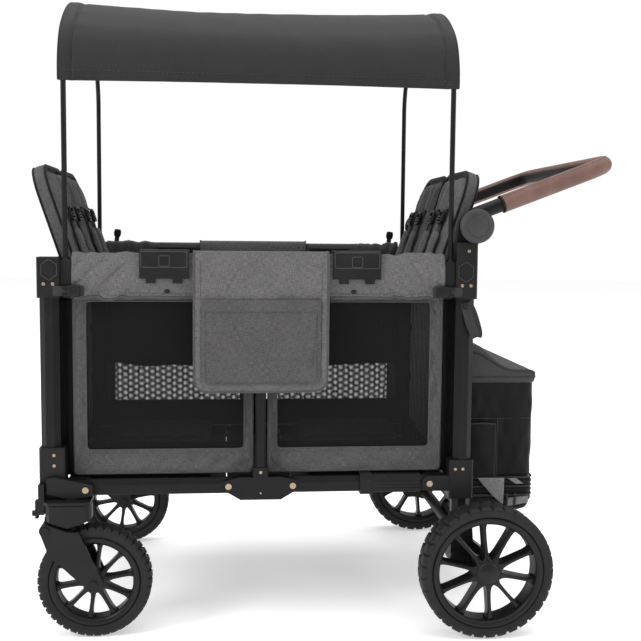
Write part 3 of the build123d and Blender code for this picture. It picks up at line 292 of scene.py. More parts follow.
# ---- materials -----------------------------------------------------------------------------
class Value:
    """A shader socket that can be used in arithmetic: each sign adds one Math node."""

    def __init__(self, shader, socket):
        self.shader, self.socket = shader, socket

    def math(self, operation, *others):
        inputs = dict(enumerate((self, *others)))
        return self.shader.node("ShaderNodeMath", {"operation": operation}, inputs)

    def __add__(self, other):
        return self.math("ADD", other)

    def __sub__(self, other):
        return self.math("SUBTRACT", other)

    def __rsub__(self, other):
        return self.shader.node("ShaderNodeMath", {"operation": "SUBTRACT"}, {0: other, 1: self})

    def __mul__(self, other):
        return self.math("MULTIPLY", other)

    __radd__, __rmul__ = __add__, __mul__


class Shader:
    """One material that ends in a Principled shader."""

    def __init__(self, name):
        self.material = bpy.data.materials.new(name)
        self.material.use_nodes = True
        self.tree = self.material.node_tree
        self.tree.nodes.clear()
        self.surface = self.tree.nodes.new("ShaderNodeBsdfPrincipled")
        end = self.tree.nodes.new("ShaderNodeOutputMaterial")
        self.tree.links.new(self.surface.outputs[0], end.inputs[0])

    def node(self, kind, settings=None, inputs=None, output=0):
        """A node of one kind: its settings first, then its sockets' values or links."""
        made = self.tree.nodes.new(kind)
        for key, value in (settings or {}).items():
            setattr(made, key, value)
        for key, value in (inputs or {}).items():
            self.feed(made.inputs[key], value)
        return Value(self, made.outputs[output])

    def feed(self, socket, value):
        if isinstance(value, Value):
            self.tree.links.new(value.socket, socket)
        else:
            socket.default_value = value

    def place(self, scale, cloth):
        """Coordinates times scale: the cloth's own UV map, or the object's space."""
        source = (self.node("ShaderNodeUVMap", {"uv_map": "cloth"}) if cloth else
                  self.node("ShaderNodeTexCoord", output="Object"))
        return self.node("ShaderNodeMapping", None, {"Vector": source, "Scale": scale})

    def noise(self, where, scale=1.0, detail=3.0, roughness=0.55):
        inputs = {"Vector": where, "Scale": scale, "Detail": detail, "Roughness": roughness}
        return self.node("ShaderNodeTexNoise", None, inputs)

    def mix(self, share, a, b):
        """A colour between a and b."""
        settings = {"data_type": "RGBA", "clamp_factor": True}
        return self.node("ShaderNodeMix", settings, {0: share, 6: a, 7: b}, output=2)

    def clamp(self, value, low, high):
        """value stretched so that low becomes 0 and high becomes 1, and kept between them."""
        inputs = {"Value": value, "From Min": low, "From Max": high}
        return self.node("ShaderNodeMapRange", None, inputs)

    def bump(self, height, strength, distance):
        inputs = {"Height": height, "Strength": strength, "Distance": distance}
        return self.node("ShaderNodeBump", None, inputs)

    def finish(self, **sockets):
        for key, value in sockets.items():
            self.feed(self.surface.inputs[key.replace("_", " ")], value)
        return self.material


def grey(level, warm=0.0):
    return (level * (1 + warm), level, level * (1 + warm * 0.8), 1.0)


def heather_cloth(name, dark, light, cloth=True):
    """Melange weave: dark and light yarns that show as short streaks both ways, over a plain
    weave whose height is the product of two sine waves."""
    s = Shader(name)
    if cloth:
        along, across = s.place((100, 1000, 1), True), s.place((1000, 100, 1), True)
        weave_at = s.place((1, 1, 1), True)
    else:
        along, across = s.place((1000, 110, 1000), False), s.place((1000, 1000, 110), False)
        weave_at = s.place((1, 1, 1), False)
    yarns = s.noise(along, detail=2.0) + s.noise(across, detail=2.0)
    cloudy = s.noise(s.place((14, 14, 14), cloth), detail=2.0)
    blend = s.clamp(yarns * 0.5 + cloudy * 0.12, 0.40, 0.76)
    axes = s.node("ShaderNodeSeparateXYZ", None, {0: weave_at})
    pitch = 2 * pi / 0.0015
    first = (axes * pitch).math("SINE")
    height_socket = s.node("ShaderNodeSeparateXYZ", None, {0: weave_at}, output=1 if cloth else 2)
    second = (height_socket * pitch).math("SINE")
    height = first * second * 0.5 + yarns * 0.8
    return s.finish(Base_Color=s.mix(blend, dark, light), Roughness=0.86,
                    Sheen_Weight=0.12, Sheen_Roughness=0.5, Specular_IOR_Level=0.15,
                    Normal=s.bump(height, 0.55, 0.0006))


def plain_cloth(name, colour, other, cloth=True, sheen=0.3, rough=0.8):
    """Tightly woven polyester: an even colour with faint streaks and a fine weave."""
    s = Shader(name)
    streaks = s.noise(s.place((60, 800, 800), cloth), detail=3.0)
    cloudy = s.noise(s.place((9, 9, 9), cloth), detail=3.0)
    axes = s.place((1, 1, 1), cloth)
    pitch = 2 * pi / 0.0012
    first = (s.node("ShaderNodeSeparateXYZ", None, {0: axes}) * pitch).math("SINE")
    second = (s.node("ShaderNodeSeparateXYZ", None, {0: axes}, output=1) * pitch).math("SINE")
    share = s.clamp(streaks * 0.6 + cloudy * 0.4, 0.35, 0.65)
    return s.finish(Base_Color=s.mix(share, colour, other), Roughness=rough,
                    Sheen_Weight=sheen, Sheen_Roughness=0.4, Specular_IOR_Level=0.16,
                    Normal=s.bump(first * second + streaks * 0.6, 0.4, 0.0004))


def net_cloth(name, pitch=0.0027):
    """Open net: three cosine waves at 60 degrees add up to a hexagonal lattice of holes."""
    s = Shader(name)
    place = s.place((1, 1, 1), True)
    u = s.node("ShaderNodeSeparateXYZ", None, {0: place})
    v = s.node("ShaderNodeSeparateXYZ", None, {0: place}, output=1)
    wave = 2 * pi / pitch
    lattice = (u * wave).math("COSINE")
    for turn in (pi / 3, -pi / 3):
        lattice = lattice + (u * (cos(turn) * wave) + v * (sin(turn) * wave)).math("COSINE")
    thread = 1 - s.clamp(lattice, 0.55, 0.95)
    return s.finish(Base_Color=grey(0.010), Roughness=0.8, Specular_IOR_Level=0.1, Alpha=thread,
                    Normal=s.bump(lattice, 0.3, 0.0004))


def powder_coat(name, colour, rough=0.42):
    """Sprayed metal: orange-peel bump, faint dust and rubbed patches in the roughness."""
    s = Shader(name)
    place = s.place((1, 1, 1), False)
    peel = s.noise(place, 900, 2.0)
    dust = s.noise(place, 22, 5.0, 0.65)
    share = s.clamp(dust, 0.45, 0.75)
    lighter = tuple(c * 1.4 + 0.0015 for c in colour[:3]) + (1.0,)
    return s.finish(Base_Color=s.mix(share, colour, lighter), Metallic=0.0,
                    Roughness=dust * 0.16 + (rough - 0.08), Specular_IOR_Level=0.2,
                    Normal=s.bump(peel, 0.12, 0.0003))


def moulded(name, colour, rough=0.5, grain=1300):
    """Moulded plastic: a fine spark-eroded grain and slightly uneven gloss."""
    s = Shader(name)
    place = s.place((1, 1, 1), False)
    fine = s.noise(place, grain, 2.0)
    smear = s.noise(place, 17, 4.0, 0.6)
    lighter = tuple(c * 1.35 + 0.003 for c in colour[:3]) + (1.0,)
    return s.finish(Base_Color=s.mix(s.clamp(smear, 0.4, 0.75), colour, lighter),
                    Roughness=smear * 0.2 + (rough - 0.1), Specular_IOR_Level=0.22,
                    Normal=s.bump(fine, 0.22, 0.0003))


def tyre_rubber(name):
    """Foam rubber: matt, with dry dust that sits in soft patches."""
    s = Shader(name)
    place = s.place((1, 1, 1), False)
    dust = s.noise(place, 30, 6.0, 0.7)
    fine = s.noise(place, 1500, 2.0)
    return s.finish(Base_Color=s.mix(s.clamp(dust, 0.42, 0.8), grey(0.006), grey(0.014)),
                    Roughness=dust * 0.22 + 0.5, Specular_IOR_Level=0.3,
                    Normal=s.bump(fine, 0.25, 0.0003))


def grip_leather(name):
    """Grained leather: Voronoi cells sunk at their edges, with warm brown shading."""
    s = Shader(name)
    place = s.place((1, 1, 1), False)
    cells = s.node("ShaderNodeTexVoronoi", {"feature": "DISTANCE_TO_EDGE"},
                   {"Vector": place, "Scale": 620})
    grain = s.clamp(cells, 0.0, 0.22)
    shade = s.noise(place, 26, 4.0)
    base = s.mix(s.clamp(shade, 0.35, 0.7), (0.150, 0.074, 0.058, 1), (0.24, 0.132, 0.106, 1))
    colour = s.mix(grain, (0.115, 0.058, 0.046, 1), base)
    return s.finish(Base_Color=colour, Roughness=0.56 - grain * 0.1, Specular_IOR_Level=0.4,
                    Normal=s.bump(grain, 0.5, 0.0005))


def webbing(name, colour):
    """Woven strap: ribs across it, each a rounded sine, and a faint lengthways grain."""
    s = Shader(name)
    place = s.place((1, 1, 1), True)
    along = s.node("ShaderNodeSeparateXYZ", None, {0: place})
    rib = (along * (2 * pi / 0.0022)).math("SINE")
    grain = s.noise(s.place((400, 2600, 1), True), detail=2.0)
    lighter = tuple(c * 2.2 + 0.006 for c in colour[:3]) + (1.0,)
    share = s.clamp(rib * 0.25 + grain, 0.35, 0.95)
    return s.finish(Base_Color=s.mix(share, colour, lighter), Roughness=0.72,
                    Normal=s.bump(rib + grain, 0.5, 0.0005))


def plated_steel(name):
    """Zinc-plated fasteners: yellowish metal with fine scratches in the roughness."""
    s = Shader(name)
    place = s.place((1, 1, 1), False)
    marks = s.noise(place, 700, 3.0)
    return s.finish(Base_Color=s.mix(s.clamp(marks, 0.3, 0.7), (0.24, 0.17, 0.12, 1),
                                     (0.46, 0.37, 0.27, 1)),
                    Metallic=1.0, Roughness=marks * 0.2 + 0.2, Normal=s.bump(marks, 0.1, 0.0002))


MELANGE_DARK, MELANGE_LIGHT = grey(0.055, 0.04), grey(0.19, 0.03)
melange = heather_cloth("grey melange weave", MELANGE_DARK, MELANGE_LIGHT)
# A darker copy of the grey melange: painted shade, used on the tub's side borders, the pocket pouches and
# the seat-back edges.
melange_painted_shade = heather_cloth("shaded melange weave", grey(0.040, 0.04), grey(0.125, 0.03))
melange_pad = heather_cloth("grey melange padding", MELANGE_DARK, MELANGE_LIGHT, cloth=False)
melange_pale = heather_cloth("pale melange weave", grey(0.11), grey(0.34))
binding = plain_cloth("grey binding tape", grey(0.055, 0.03), grey(0.09, 0.03))
inner_weave = heather_cloth("dark inner weave", grey(0.032), grey(0.085))
# Near-black seat cloth: partly the seats' own dark colour, partly painted shade for the dim inside of the
# tub that shows through the nets.
cushion_black_and_shade = plain_cloth("black cushion weave", grey(0.008), grey(0.014), cloth=False, sheen=0.05)
canopy_cloth = plain_cloth("charcoal canopy weave", grey(0.021, 0.02), grey(0.029, 0.02), sheen=0.1)
lining = plain_cloth("black lining", grey(0.005), grey(0.009), sheen=0.0)
bag_cloth = plain_cloth("black bag weave", grey(0.004), grey(0.008), sheen=0.06, rough=0.62)
lid_cloth = plain_cloth("bag lid weave", grey(0.040), grey(0.056), sheen=0.12, rough=0.55)
net = net_cloth("black window net")
frame_paint = powder_coat("black powder coat", grey(0.0045, 0.05))
pole_paint = powder_coat("black pole coat", grey(0.007, 0.04), 0.34)
plastic = moulded("black nylon", grey(0.0065, 0.05), 0.46)
rim_plastic = moulded("black rim plastic", grey(0.007, 0.05), 0.4)
board_plastic = moulded("black board plastic", grey(0.008), 0.6)
# Charcoal plastic: the hub caps' own colour, and also a painted highlight where it lines the clamp outlines
# and bracket hexagons.
cap_plastic_and_highlight = moulded("charcoal hub plastic", grey(0.038, 0.03), 0.5)
rubber = tyre_rubber("tyre rubber")
leather = grip_leather("brown leather")
strap_web = webbing("black webbing", grey(0.010))
thread = plain_cloth("sewing thread", grey(0.10), grey(0.16), cloth=False)
dark_thread = plain_cloth("dark sewing thread", grey(0.03), grey(0.05), cloth=False)
brown_thread = plain_cloth("brown sewing thread", (0.10, 0.05, 0.04, 1), (0.14, 0.075, 0.06, 1),
                           cloth=False)
steel = plated_steel("zinc plated steel")

SLOT_FINISH = {"frame_metal": frame_paint, "plate_metal": frame_paint, "axle_metal": frame_paint,
               "pole_metal": pole_paint, "bracket_plastic": plastic, "moulded_plastic": plastic,
               "rim_plastic": rim_plastic, "board_plastic": board_plastic,
               "tyre_rubber": rubber, "tub_fabric": melange_pad, "seat_fabric": melange_pad,
               "canopy_fabric": canopy_cloth, "bag_fabric": bag_cloth, "webbing": strap_web,
               "grip_leather": leather, "bolt_steel": steel}
for row in frame["record"]["subparts"]:
    node = frame["nodes"][row["node"]]
    node.data.materials.clear()
    node.data.materials.append(SLOT_FINISH[row["material_slot"]])


# ---- camera, light and floor ---------------------------------------------------------------
def look(place, turn, down, roll, lens):
    """A camera at place, turned to the right of +Y, tilted down and rolled, in degrees."""
    turn, down, roll = radians(turn), radians(down), radians(roll)
    ahead = Vector((sin(turn) * cos(down), cos(turn) * cos(down), -sin(down)))
    right = Vector((cos(turn), -sin(turn), 0))
    up = right.cross(ahead)
    right, up = right * cos(roll) + up * sin(roll), up * cos(roll) - right * sin(roll)
    data = bpy.data.cameras.new("camera")
    data.lens, data.sensor_width = lens, 36.0
    camera = bpy.data.objects.new("camera", data)
    turned = Matrix((right, up, -ahead)).transposed().to_4x4()
    camera.matrix_world = Matrix.Translation(place) @ turned
    bpy.context.scene.collection.objects.link(camera)
    bpy.context.scene.camera = camera


look((FOLD_X - 0.0722, -2.1802, 0.7708), 5.574, 5.081, 0.543, 56.16)


def soft_box(name, place, target, size, power):
    """A large square lamp at place that faces the target."""
    data = bpy.data.lights.new(name, "AREA")
    data.shape, data.size, data.energy = "SQUARE", size, power
    lamp = bpy.data.objects.new(name, data)
    lamp.location = place
    lamp.rotation_euler = (Vector(target) - Vector(place)).to_track_quat("-Z", "Y").to_euler()
    bpy.context.scene.collection.objects.link(lamp)


FILL_LIGHT = 0.60
soft_box("top light", (0.2, 0.0, 5.2), (0, 0, 0.3), 6.0, 240)
soft_box("left light", (-2.6, -1.7, 2.3), (0, 0, 0.6), 0.9, 46)
soft_box("right light", (3.2, -2.0, 1.9), (0, 0, 0.6), 0.8, 24)

sky = bpy.data.worlds.new("studio")
sky.use_nodes = True
glow = sky.node_tree.nodes["Background"]
ray = sky.node_tree.nodes.new("ShaderNodeLightPath")
share = sky.node_tree.nodes.new("ShaderNodeMapRange")
share.inputs["To Min"].default_value = FILL_LIGHT
share.inputs["To Max"].default_value = 1.0
sky.node_tree.links.new(ray.outputs["Is Camera Ray"], share.inputs["Value"])
sky.node_tree.links.new(share.outputs[0], glow.inputs["Strength"])
glow.inputs["Color"].default_value = (1, 1, 1, 1)
bpy.context.scene.world = sky
bpy.context.scene.view_settings.view_transform = "Standard"

FLOOR_HALF = 14.0
FLOOR_GLOW = 0.43
floor_mesh = bpy.data.meshes.new("floor")
floor_mesh.from_pydata([(x * FLOOR_HALF, y * FLOOR_HALF, -0.0005)
                        for x, y in ((-1, -1), (1, -1), (1, 1), (-1, 1))], [], [(0, 1, 2, 3)])
floor = bpy.data.objects.new("floor", floor_mesh)
bpy.context.scene.collection.objects.link(floor)
floor_paint = Shader("pale studio floor")
floor_shade = floor_paint.noise(floor_paint.place((1, 1, 1), False), 1.5, 2.0)
floor_mesh.materials.append(floor_paint.finish(
    Base_Color=floor_paint.mix(floor_shade, grey(0.88), grey(0.90)), Roughness=0.8,
    Specular_IOR_Level=0.0, Emission_Color=grey(1.0), Emission_Strength=FLOOR_GLOW))


# ---- wheels --------------------------------------------------------------------------------
def tread_profile(inner, outer, half):
    """The tyre's outline, round from one bead over the tread to the other and back inside."""
    rise = outer - inner
    side = [(inner, 0.62), (inner + 0.001, 0.80), (inner + 0.16 * rise, 0.90),
            (inner + 0.22 * rise, 0.885), (inner + 0.28 * rise, 0.93), (inner + 0.5 * rise, 0.985),
            (inner + 0.68 * rise, 0.985), (inner + 0.80 * rise, 0.94), (inner + 0.90 * rise, 0.86),
            (outer - 0.03 * rise, 0.72), (outer, 0.56), (outer, 0.40), (outer, 0.24), (outer, 0.12)]
    left = [(r, -w * half) for r, w in side]
    return np.array(left + [(outer, 0.0)] + [(r, -y) for r, y in reversed(left)])


def tyre(name, node, rim_node, lugs, groove, body):
    """A ring whose tread is cut by lugs: the radius drops by groove where a square wave of the
    angle is low, with the two shoulders half a lug apart and a shallow middle zigzag."""
    low, high = extent(node)
    rim_low, rim_high = extent(rim_node)
    centre, outer = (low + high) / 2, (high[2] - low[2]) / 2
    half, inner = (high[1] - low[1]) / 2, (rim_high[2] - rim_low[2]) / 2
    profile = tread_profile(inner - 0.0005, outer, half)
    steps = lugs * 14
    turn = np.arange(steps) / steps * 2 * pi
    p = spun(profile, centre, steps)
    across = profile[:, 1] / half
    depth = np.clip((np.abs(across) - 0.1) / 0.3, 0, 1) * np.clip(
        (profile[:, 0] - inner - 0.62 * (outer - inner)) / (0.2 * (outer - inner)), 0, 1)
    phase = np.where(across < 0, 0.0, 0.5)
    wave = (turn[:, None] * lugs / (2 * pi) + phase[None] + np.abs(across)[None] * 0.25) % 1.0
    cut = np.clip((0.14 - np.abs(wave - 0.5)) / 0.05, 0, 1)
    zigzag = np.abs((turn * lugs / (2 * pi)) % 1.0 - 0.5)[:, None] * 0.36 - 0.09
    middle = np.clip(1 - np.abs(across[None] - zigzag) / 0.09, 0, 1) * (profile[:, 0] > outer * 0.995)
    sunk = np.maximum(cut * depth[None], middle * 0.6) * groove
    p[..., 0] -= np.cos(turn)[:, None] * sunk
    p[..., 2] -= np.sin(turn)[:, None] * sunk
    Shape().grid(p, around=True, along=True).make(name, rubber, body, "tyre_rubber",
                                                  replaces=[node])


def rim(name, node, phase, body, out, cap):
    """A ring, a hub and ten blades.  A blade's half width and depth along the radius are a
    steady size plus fillets that fade exponentially from the hub and from the ring."""
    low, high = extent(node)
    centre, outer = (low + high) / 2, (high[2] - low[2]) / 2
    deep = (high[1] - low[1]) / 2
    ring_half, opening, hub = deep * 0.80, outer - 0.013, 0.024 if cap else 0.017
    lip = [(outer, -ring_half), (outer, ring_half), (outer - 0.003, ring_half + 0.001),
           (outer - 0.008, ring_half - 0.0005), (opening + 0.0015, ring_half - 0.003),
           (opening, ring_half - 0.006), (opening + 0.002, 0.0), (opening, 0.006 - ring_half),
           (opening + 0.0015, 0.003 - ring_half), (outer - 0.008, 0.0005 - ring_half),
           (outer - 0.003, -ring_half - 0.001)]
    shape = Shape().grid(spun(lip, centre, 120, out), around=True, along=True)
    face = deep - 0.001
    if cap:
        hub_line = [(0.0, -deep * 0.9), (hub * 0.8, -deep * 0.9), (hub, -deep * 0.8), (hub, face - 0.006),
                    (hub - 0.0015, face - 0.003), (hub - 0.002, face - 0.0035),
                    (hub - 0.0026, face - 0.003), (hub - 0.004, face - 0.0008), (0.0, face)]
    else:
        hub_line = [(0.0045, -deep), (hub * 0.9, -deep), (hub, -deep + 0.002), (hub, deep - 0.002),
                    (hub * 0.9, deep), (0.0045, deep)]
    shape.grid(spun(hub_line, centre, 64, out), along=True, around=not cap)
    r = hub - 0.002 + (opening + 0.003 - hub) * np.linspace(0, 1, 22)
    wide = 0.0036 + 0.0085 * np.exp((hub - 0.002 - r) / 0.006) + 0.004 * np.exp((r - opening) / 0.005)
    front = ring_half * 0.62 + (face - 0.006 - ring_half * 0.62) * np.exp((hub - r) / 0.02)
    back = -ring_half * 0.55
    section = oval(1.0, 1.0, 20, 5.0)
    for k in range(10):
        turn = phase + k * pi / 5
        radial = np.array([cos(turn), 0, sin(turn)])
        sideways = np.array([-sin(turn), 0, cos(turn)])
        middle, deep_half = (front + back) / 2, (front - back) / 2
        line = centre + r[:, None] * radial + out * middle[:, None] * np.array([0, 1, 0])
        blade = (line[:, None] + (wide[:, None] * section[:, 0])[..., None] * sideways
                 + (deep_half[:, None] * section[:, 1])[..., None] * np.array([0, 1, 0]))
        ends = [np.broadcast_to(line[e], blade.shape[1:])[None] for e in (0, -1)]
        shape.grid(np.concatenate([ends[0], blade, ends[1]]), around=True)
    shape.make(name, rim_plastic, body, "rim_plastic", replaces=[node])


for word, side in SIDES.items():
    tyre(f"rear_tyre_{word}_lugged", f"rear_tyre_{word}", f"rear_rim_{word}", 34, 0.0042,
         f"rear_wheel_{word}")
    rim(f"rear_rim_{word}_spoked", f"rear_rim_{word}", radians(23), f"rear_wheel_{word}", side, True)
    tyre(f"caster_tyre_{word}_lugged", f"caster_tyre_{word}", f"caster_rim_{word}", 42, 0.0034,
         f"caster_wheel_{word}")
    rim(f"caster_rim_{word}_spoked", f"caster_rim_{word}", radians(10), f"caster_wheel_{word}",
        side, False)


# ---- tub cloth -----------------------------------------------------------------------------
SLEEVE_LOOP = [(0.0015, -0.056), (0.008, -0.044), (0.0142, -0.026), (0.0152, -0.008),
               (0.0142, 0.010), (0.010, 0.022), (0.0, 0.0272), (-0.010, 0.022),
               (-0.0142, 0.010), (-0.0150, -0.008), (-0.0138, -0.026), (-0.0080, -0.044),
               (-0.0050, -0.054)]
LINER_RISE = 0.014               # the far side's cloth stands this much higher over its rail


def sleeve(end_word, side_word):
    """Cloth round the top rail: a hanging loop carried along the rail, pushed out along its own
    radius by soft folds that die away where the clamp holds it."""
    end, side = ENDS[end_word], SIDES[side_word]
    seed = 11 + 3 * end + side
    x = np.linspace(panel_low[0] + 0.0005, panel_high[0], 150)
    loop = through(SLEEVE_LOOP, 64)
    if side == FAR:
        loop[:, 1] += LINER_RISE * np.clip(loop[:, 1] / 0.0272, 0, 1)
    radial = loop / np.linalg.norm(loop, axis=1, keepdims=True)
    s = np.linspace(0, 0.17, 64)
    free = 1 - swell(x, clamp_low[0] - 0.004, clamp_high[0] + 0.004, 0.028)
    free = free * (0.35 + 0.65 * swell(x, 0.14, 0.40, 0.05))
    gathers = np.sin(x[:, None] * 2 * pi / 0.021 + s[None] * 60 + crumple(
        x[:, None], s[None], seed + 5, 0.09) * 2.5) * np.exp((x[:, None] - panel_high[0]) / 0.035)
    folds = crumple(x[:, None] + 0.9 * s[None], s[None] * 0.4, seed, 0.055)
    lines = crease(x[:, None] + 1.1 * s[None], s[None] * 0.35, seed + 7, 0.06)
    push = free[:, None] * (0.0020 + 0.0036 * folds + 0.0018 * gathers - 0.0034 * lines)
    hem = 0.0022 * crumple(x, 0 * x, seed + 2, 0.16) * (0.3 + 0.7 * free)
    y = RAIL_Y + loop[None, :, 0] + push * radial[None, :, 0]
    low = np.clip(1 - np.minimum(s, s[-1] - s) / 0.05, 0, 1)
    z = RAIL_Z + loop[None, :, 1] + push * radial[None, :, 1] + hem[:, None] * low[None]
    p = mirrored(np.stack([np.broadcast_to(x[:, None], y.shape), y, z], -1), end, side)
    body = f"{end_word}_top"
    tube = Shape().grid(p).make(f"rail_sleeve_{end_word}_{side_word}", melange, body,
                                "tub_fabric", thickness=0.0012,
                                replaces=[f"{end_word}_side_panels"])
    tube.data.materials.append(inner_weave)
    inner = np.array([abs(face.center.y) < RAIL_Y - 0.006 for face in tube.data.polygons])
    tube.data.polygons.foreach_set("material_index", inner.astype(np.int32))
    cut(tube, p, "hung", [f"{end_word}_top_rails"])
    hems = Shape()
    gathered = [tube]
    out = np.array([0, side * 0.0012, 0])
    hems.grid(carry(p[:, 0] + out, oval(0.0028, 0.0021, 10)), around=True)
    hems.grid(carry(p[:, -1] - out, oval(0.0024, 0.0019, 10)), around=True)
    gathered.append(hems.make(f"sleeve_hem_{end_word}_{side_word}", binding, body, "tub_fabric"))
    sewn = stitches(Shape(), p[:, 3] + out * 0.9, (0, side, 0))
    gathered.append(sewn.make(f"sleeve_stitches_{end_word}_{side_word}", dark_thread, body,
                              "tub_fabric"))
    for part in gathered:
        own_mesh(part)
    snap = Shape()
    at = np.array([end * 0.178, side * (RAIL_Y + 0.0085), RAIL_Z - 0.0435])
    button = [(0.0, 0.0022), (0.003, 0.0022), (0.0038, 0.0014), (0.0048, 0.0012), (0.0056, 0.0),
              (0.0056, -0.002), (0.0, -0.002)]
    snap.grid(spun(button, at, 28, side), along=True)
    snap.make(f"sleeve_snap_{end_word}_{side_word}", plastic, body, "moulded_plastic")


def clamp_outline_highlight(end_word, side_word):
    """The raised outline of a rail clamp's face, and the small square inside it, drawn in lighter plastic as
    a painted highlight along their edges.
    """
    end, side = ENDS[end_word], SIDES[side_word]
    left, right, top = clamp_low[0], clamp_high[0], clamp_high[2]
    y = clamp_high[1] + 0.0002
    cover = Shape()
    outlines = [(left + 0.003, right - 0.003, top - 0.033, top - 0.003),
                (left + 0.036, right - 0.036, top - 0.031, top - 0.011)]
    for x0, x1, z0, z1 in outlines:
        flat = rectangle(x0, x1, z0, z1, 0.003, 10)
        path = np.stack([flat[:, 0], np.full(len(flat), y), flat[:, 1]], 1)
        path = mirrored(np.vstack([path, path[:2]]), end, side)
        cover.grid(carry(path, oval(0.0010, 0.0009, 8), closed_ends=False)[:-1], around=True)
    cover.make(f"clamp_cover_{end_word}_{side_word}", cap_plastic_and_highlight, f"{end_word}_top",
               "moulded_plastic")


WINDOW_X = (0.031, 0.333)
WINDOW_Z = (0.348, 0.636)
WALL_TOP = RAIL_Z - 0.017
SKIRT_TOP = 0.361


def wall(end_word, side_word):
    """One half of a tub side: a cloth border round a net window.  The border is a blend from
    its outer rectangle to the window's rounded one, with folds that die at the sewn edge."""
    end, side = ENDS[end_word], SIDES[side_word]
    seed = 40 + 5 * end + 2 * side
    body = f"{end_word}_frame"
    outer = rectangle(panel_low[0], panel_high[0] + 0.0005, panel_low[2], WALL_TOP, 0.004, 60)
    inner = rectangle(*WINDOW_X, *WINDOW_Z, 0.009, 60)
    v = np.linspace(0, 1, 14)[:, None, None]
    flat = outer[None] * (1 - v) + inner[None] * v
    x, z = flat[..., 0], flat[..., 1]
    edge = np.sin(v[..., 0] * pi) ** 0.6
    bulge = (0.0030 * crumple(x, z, seed, 0.07) + 0.0013 * crumple(x, z, seed + 1, 0.024)
             - 0.0034 * crease(x + 0.5 * z, z * 0.4, seed + 3, 0.05))
    y = WALL_Y + 0.0006 + edge * (0.0012 + bulge)
    p = mirrored(np.stack([x, y, z], -1), end, side)
    parts = []
    # The border is drawn in the darker melange copy, which paints shade on it.
    parts.append(Shape().grid(p, around=True, flat=closing(x, z)).make(
        f"side_border_{end_word}_{side_word}", melange_painted_shade, body, "tub_fabric", thickness=0.0014,
        replaces=[f"{end_word}_side_panels"]))
    gx = np.linspace(WINDOW_X[0] - 0.003, WINDOW_X[1] + 0.003, 60)[:, None]
    gz = np.linspace(WINDOW_Z[0] - 0.003, WINDOW_Z[1] + 0.003, 56)[None]
    share = np.sin((gx - gx[0]) / (gx[-1] - gx[0]) * pi) * np.sin(
        (gz - gz[0, 0]) / (gz[0, -1] - gz[0, 0]) * pi)
    gy = WALL_Y - 0.0008 - share * (0.003 + 0.0016 * crumple(gx, gz, seed + 2, 0.12))
    g = mirrored(np.stack(np.broadcast_arrays(gx, gy, gz), -1), end, side)
    parts.append(Shape().grid(g).make(f"window_net_{end_word}_{side_word}", net, body,
                                      "tub_fabric"))
    cut(parts[1], g, "stretched", [parts[0]])
    tape = Shape()
    loop = mirrored(np.stack([inner[:, 0], np.full(len(inner), WALL_Y + 0.0012), inner[:, 1]], 1),
                    end, side)
    loop = np.vstack([loop, loop[:2]])
    tape.grid(carry(loop, oval(0.0016, 0.0013, 8), closed_ends=False)[:-1], around=True)
    low_hem = p[0, :61] + np.array([0, 0, 0.001])
    tape.grid(carry(low_hem, oval(0.0022, 0.0022, 8)), around=True)
    for rows in (slice(60, 121), slice(180, 240)):
        tape.grid(carry(p[0, rows], oval(0.0026, 0.0020, 8)), around=True)
    parts.append(tape.make(f"side_binding_{end_word}_{side_word}", binding, body, "tub_fabric"))
    seam = Shape()
    grown = rectangle(WINDOW_X[0] - 0.0065, WINDOW_X[1] + 0.0065, WINDOW_Z[0] - 0.0065,
                      WINDOW_Z[1] + 0.0065, 0.014, 60)
    at = mirrored(np.stack([grown[:, 0], np.full(len(grown), WALL_Y + 0.0034), grown[:, 1]], 1),
                  end, side)
    stitches(seam, np.vstack([at, at[:1]]), (0, side, 0))
    parts.append(seam.make(f"window_stitches_{end_word}_{side_word}", dark_thread, body,
                           "tub_fabric"))
    for part in parts:
        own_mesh(part)


def closing(x, z):
    """Cloth coordinates for a closed ring: its first column repeated at the end."""
    return (np.concatenate([x, x[:, :1]], 1), np.concatenate([z, z[:, :1]], 1))


def shade(end_word):
    """The dark blind that hangs inside a far window, with an uneven foot."""
    end = ENDS[end_word]
    x = np.linspace(0.018, 0.349, 60)[:, None]
    foot = 0.440 + 0.006 * crumple(x, 0 * x, 70 + end, 0.22) + 0.012 * (x / 0.35) ** 2
    t = np.linspace(0, 1, 50)[None]
    z = foot + (RAIL_Z - 0.014 - foot) * t
    y = WALL_Y - 0.0062 - 0.0018 * crumple(x, z, 71 + end, 0.11) - 0.001 * np.sin(t * pi)
    p = mirrored(np.stack(np.broadcast_arrays(x, y, z), -1), end, FAR)
    blind = Shape().grid(p).make(f"window_blind_{end_word}", lining, f"{end_word}_frame",
                                 "bag_fabric", thickness=0.001)
    cut(blind, p, "hung", [f"{end_word}_top_rails"])
    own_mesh(blind)


def skirt(end_word, side_word):
    """The dark cloth at the foot of a tub side, which hides the seats' edges."""
    end, side = ENDS[end_word], SIDES[side_word]
    x = np.linspace(0.017, 0.352, 70)[:, None]
    z = np.linspace(0.2985, SKIRT_TOP, 16)[None]
    y = WALL_Y - 0.0052 - 0.0008 * crumple(x, z, 76 + end + 2 * side, 0.05)
    p = mirrored(np.stack(np.broadcast_arrays(x, y, z), -1), end, side)
    cloth = Shape().grid(p).make(f"side_skirt_{end_word}_{side_word}", lining,
                                 f"{end_word}_frame", "bag_fabric", thickness=0.001)
    cut(cloth, p, "hung", [f"side_border_{end_word}_{side_word}"])
    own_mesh(cloth)


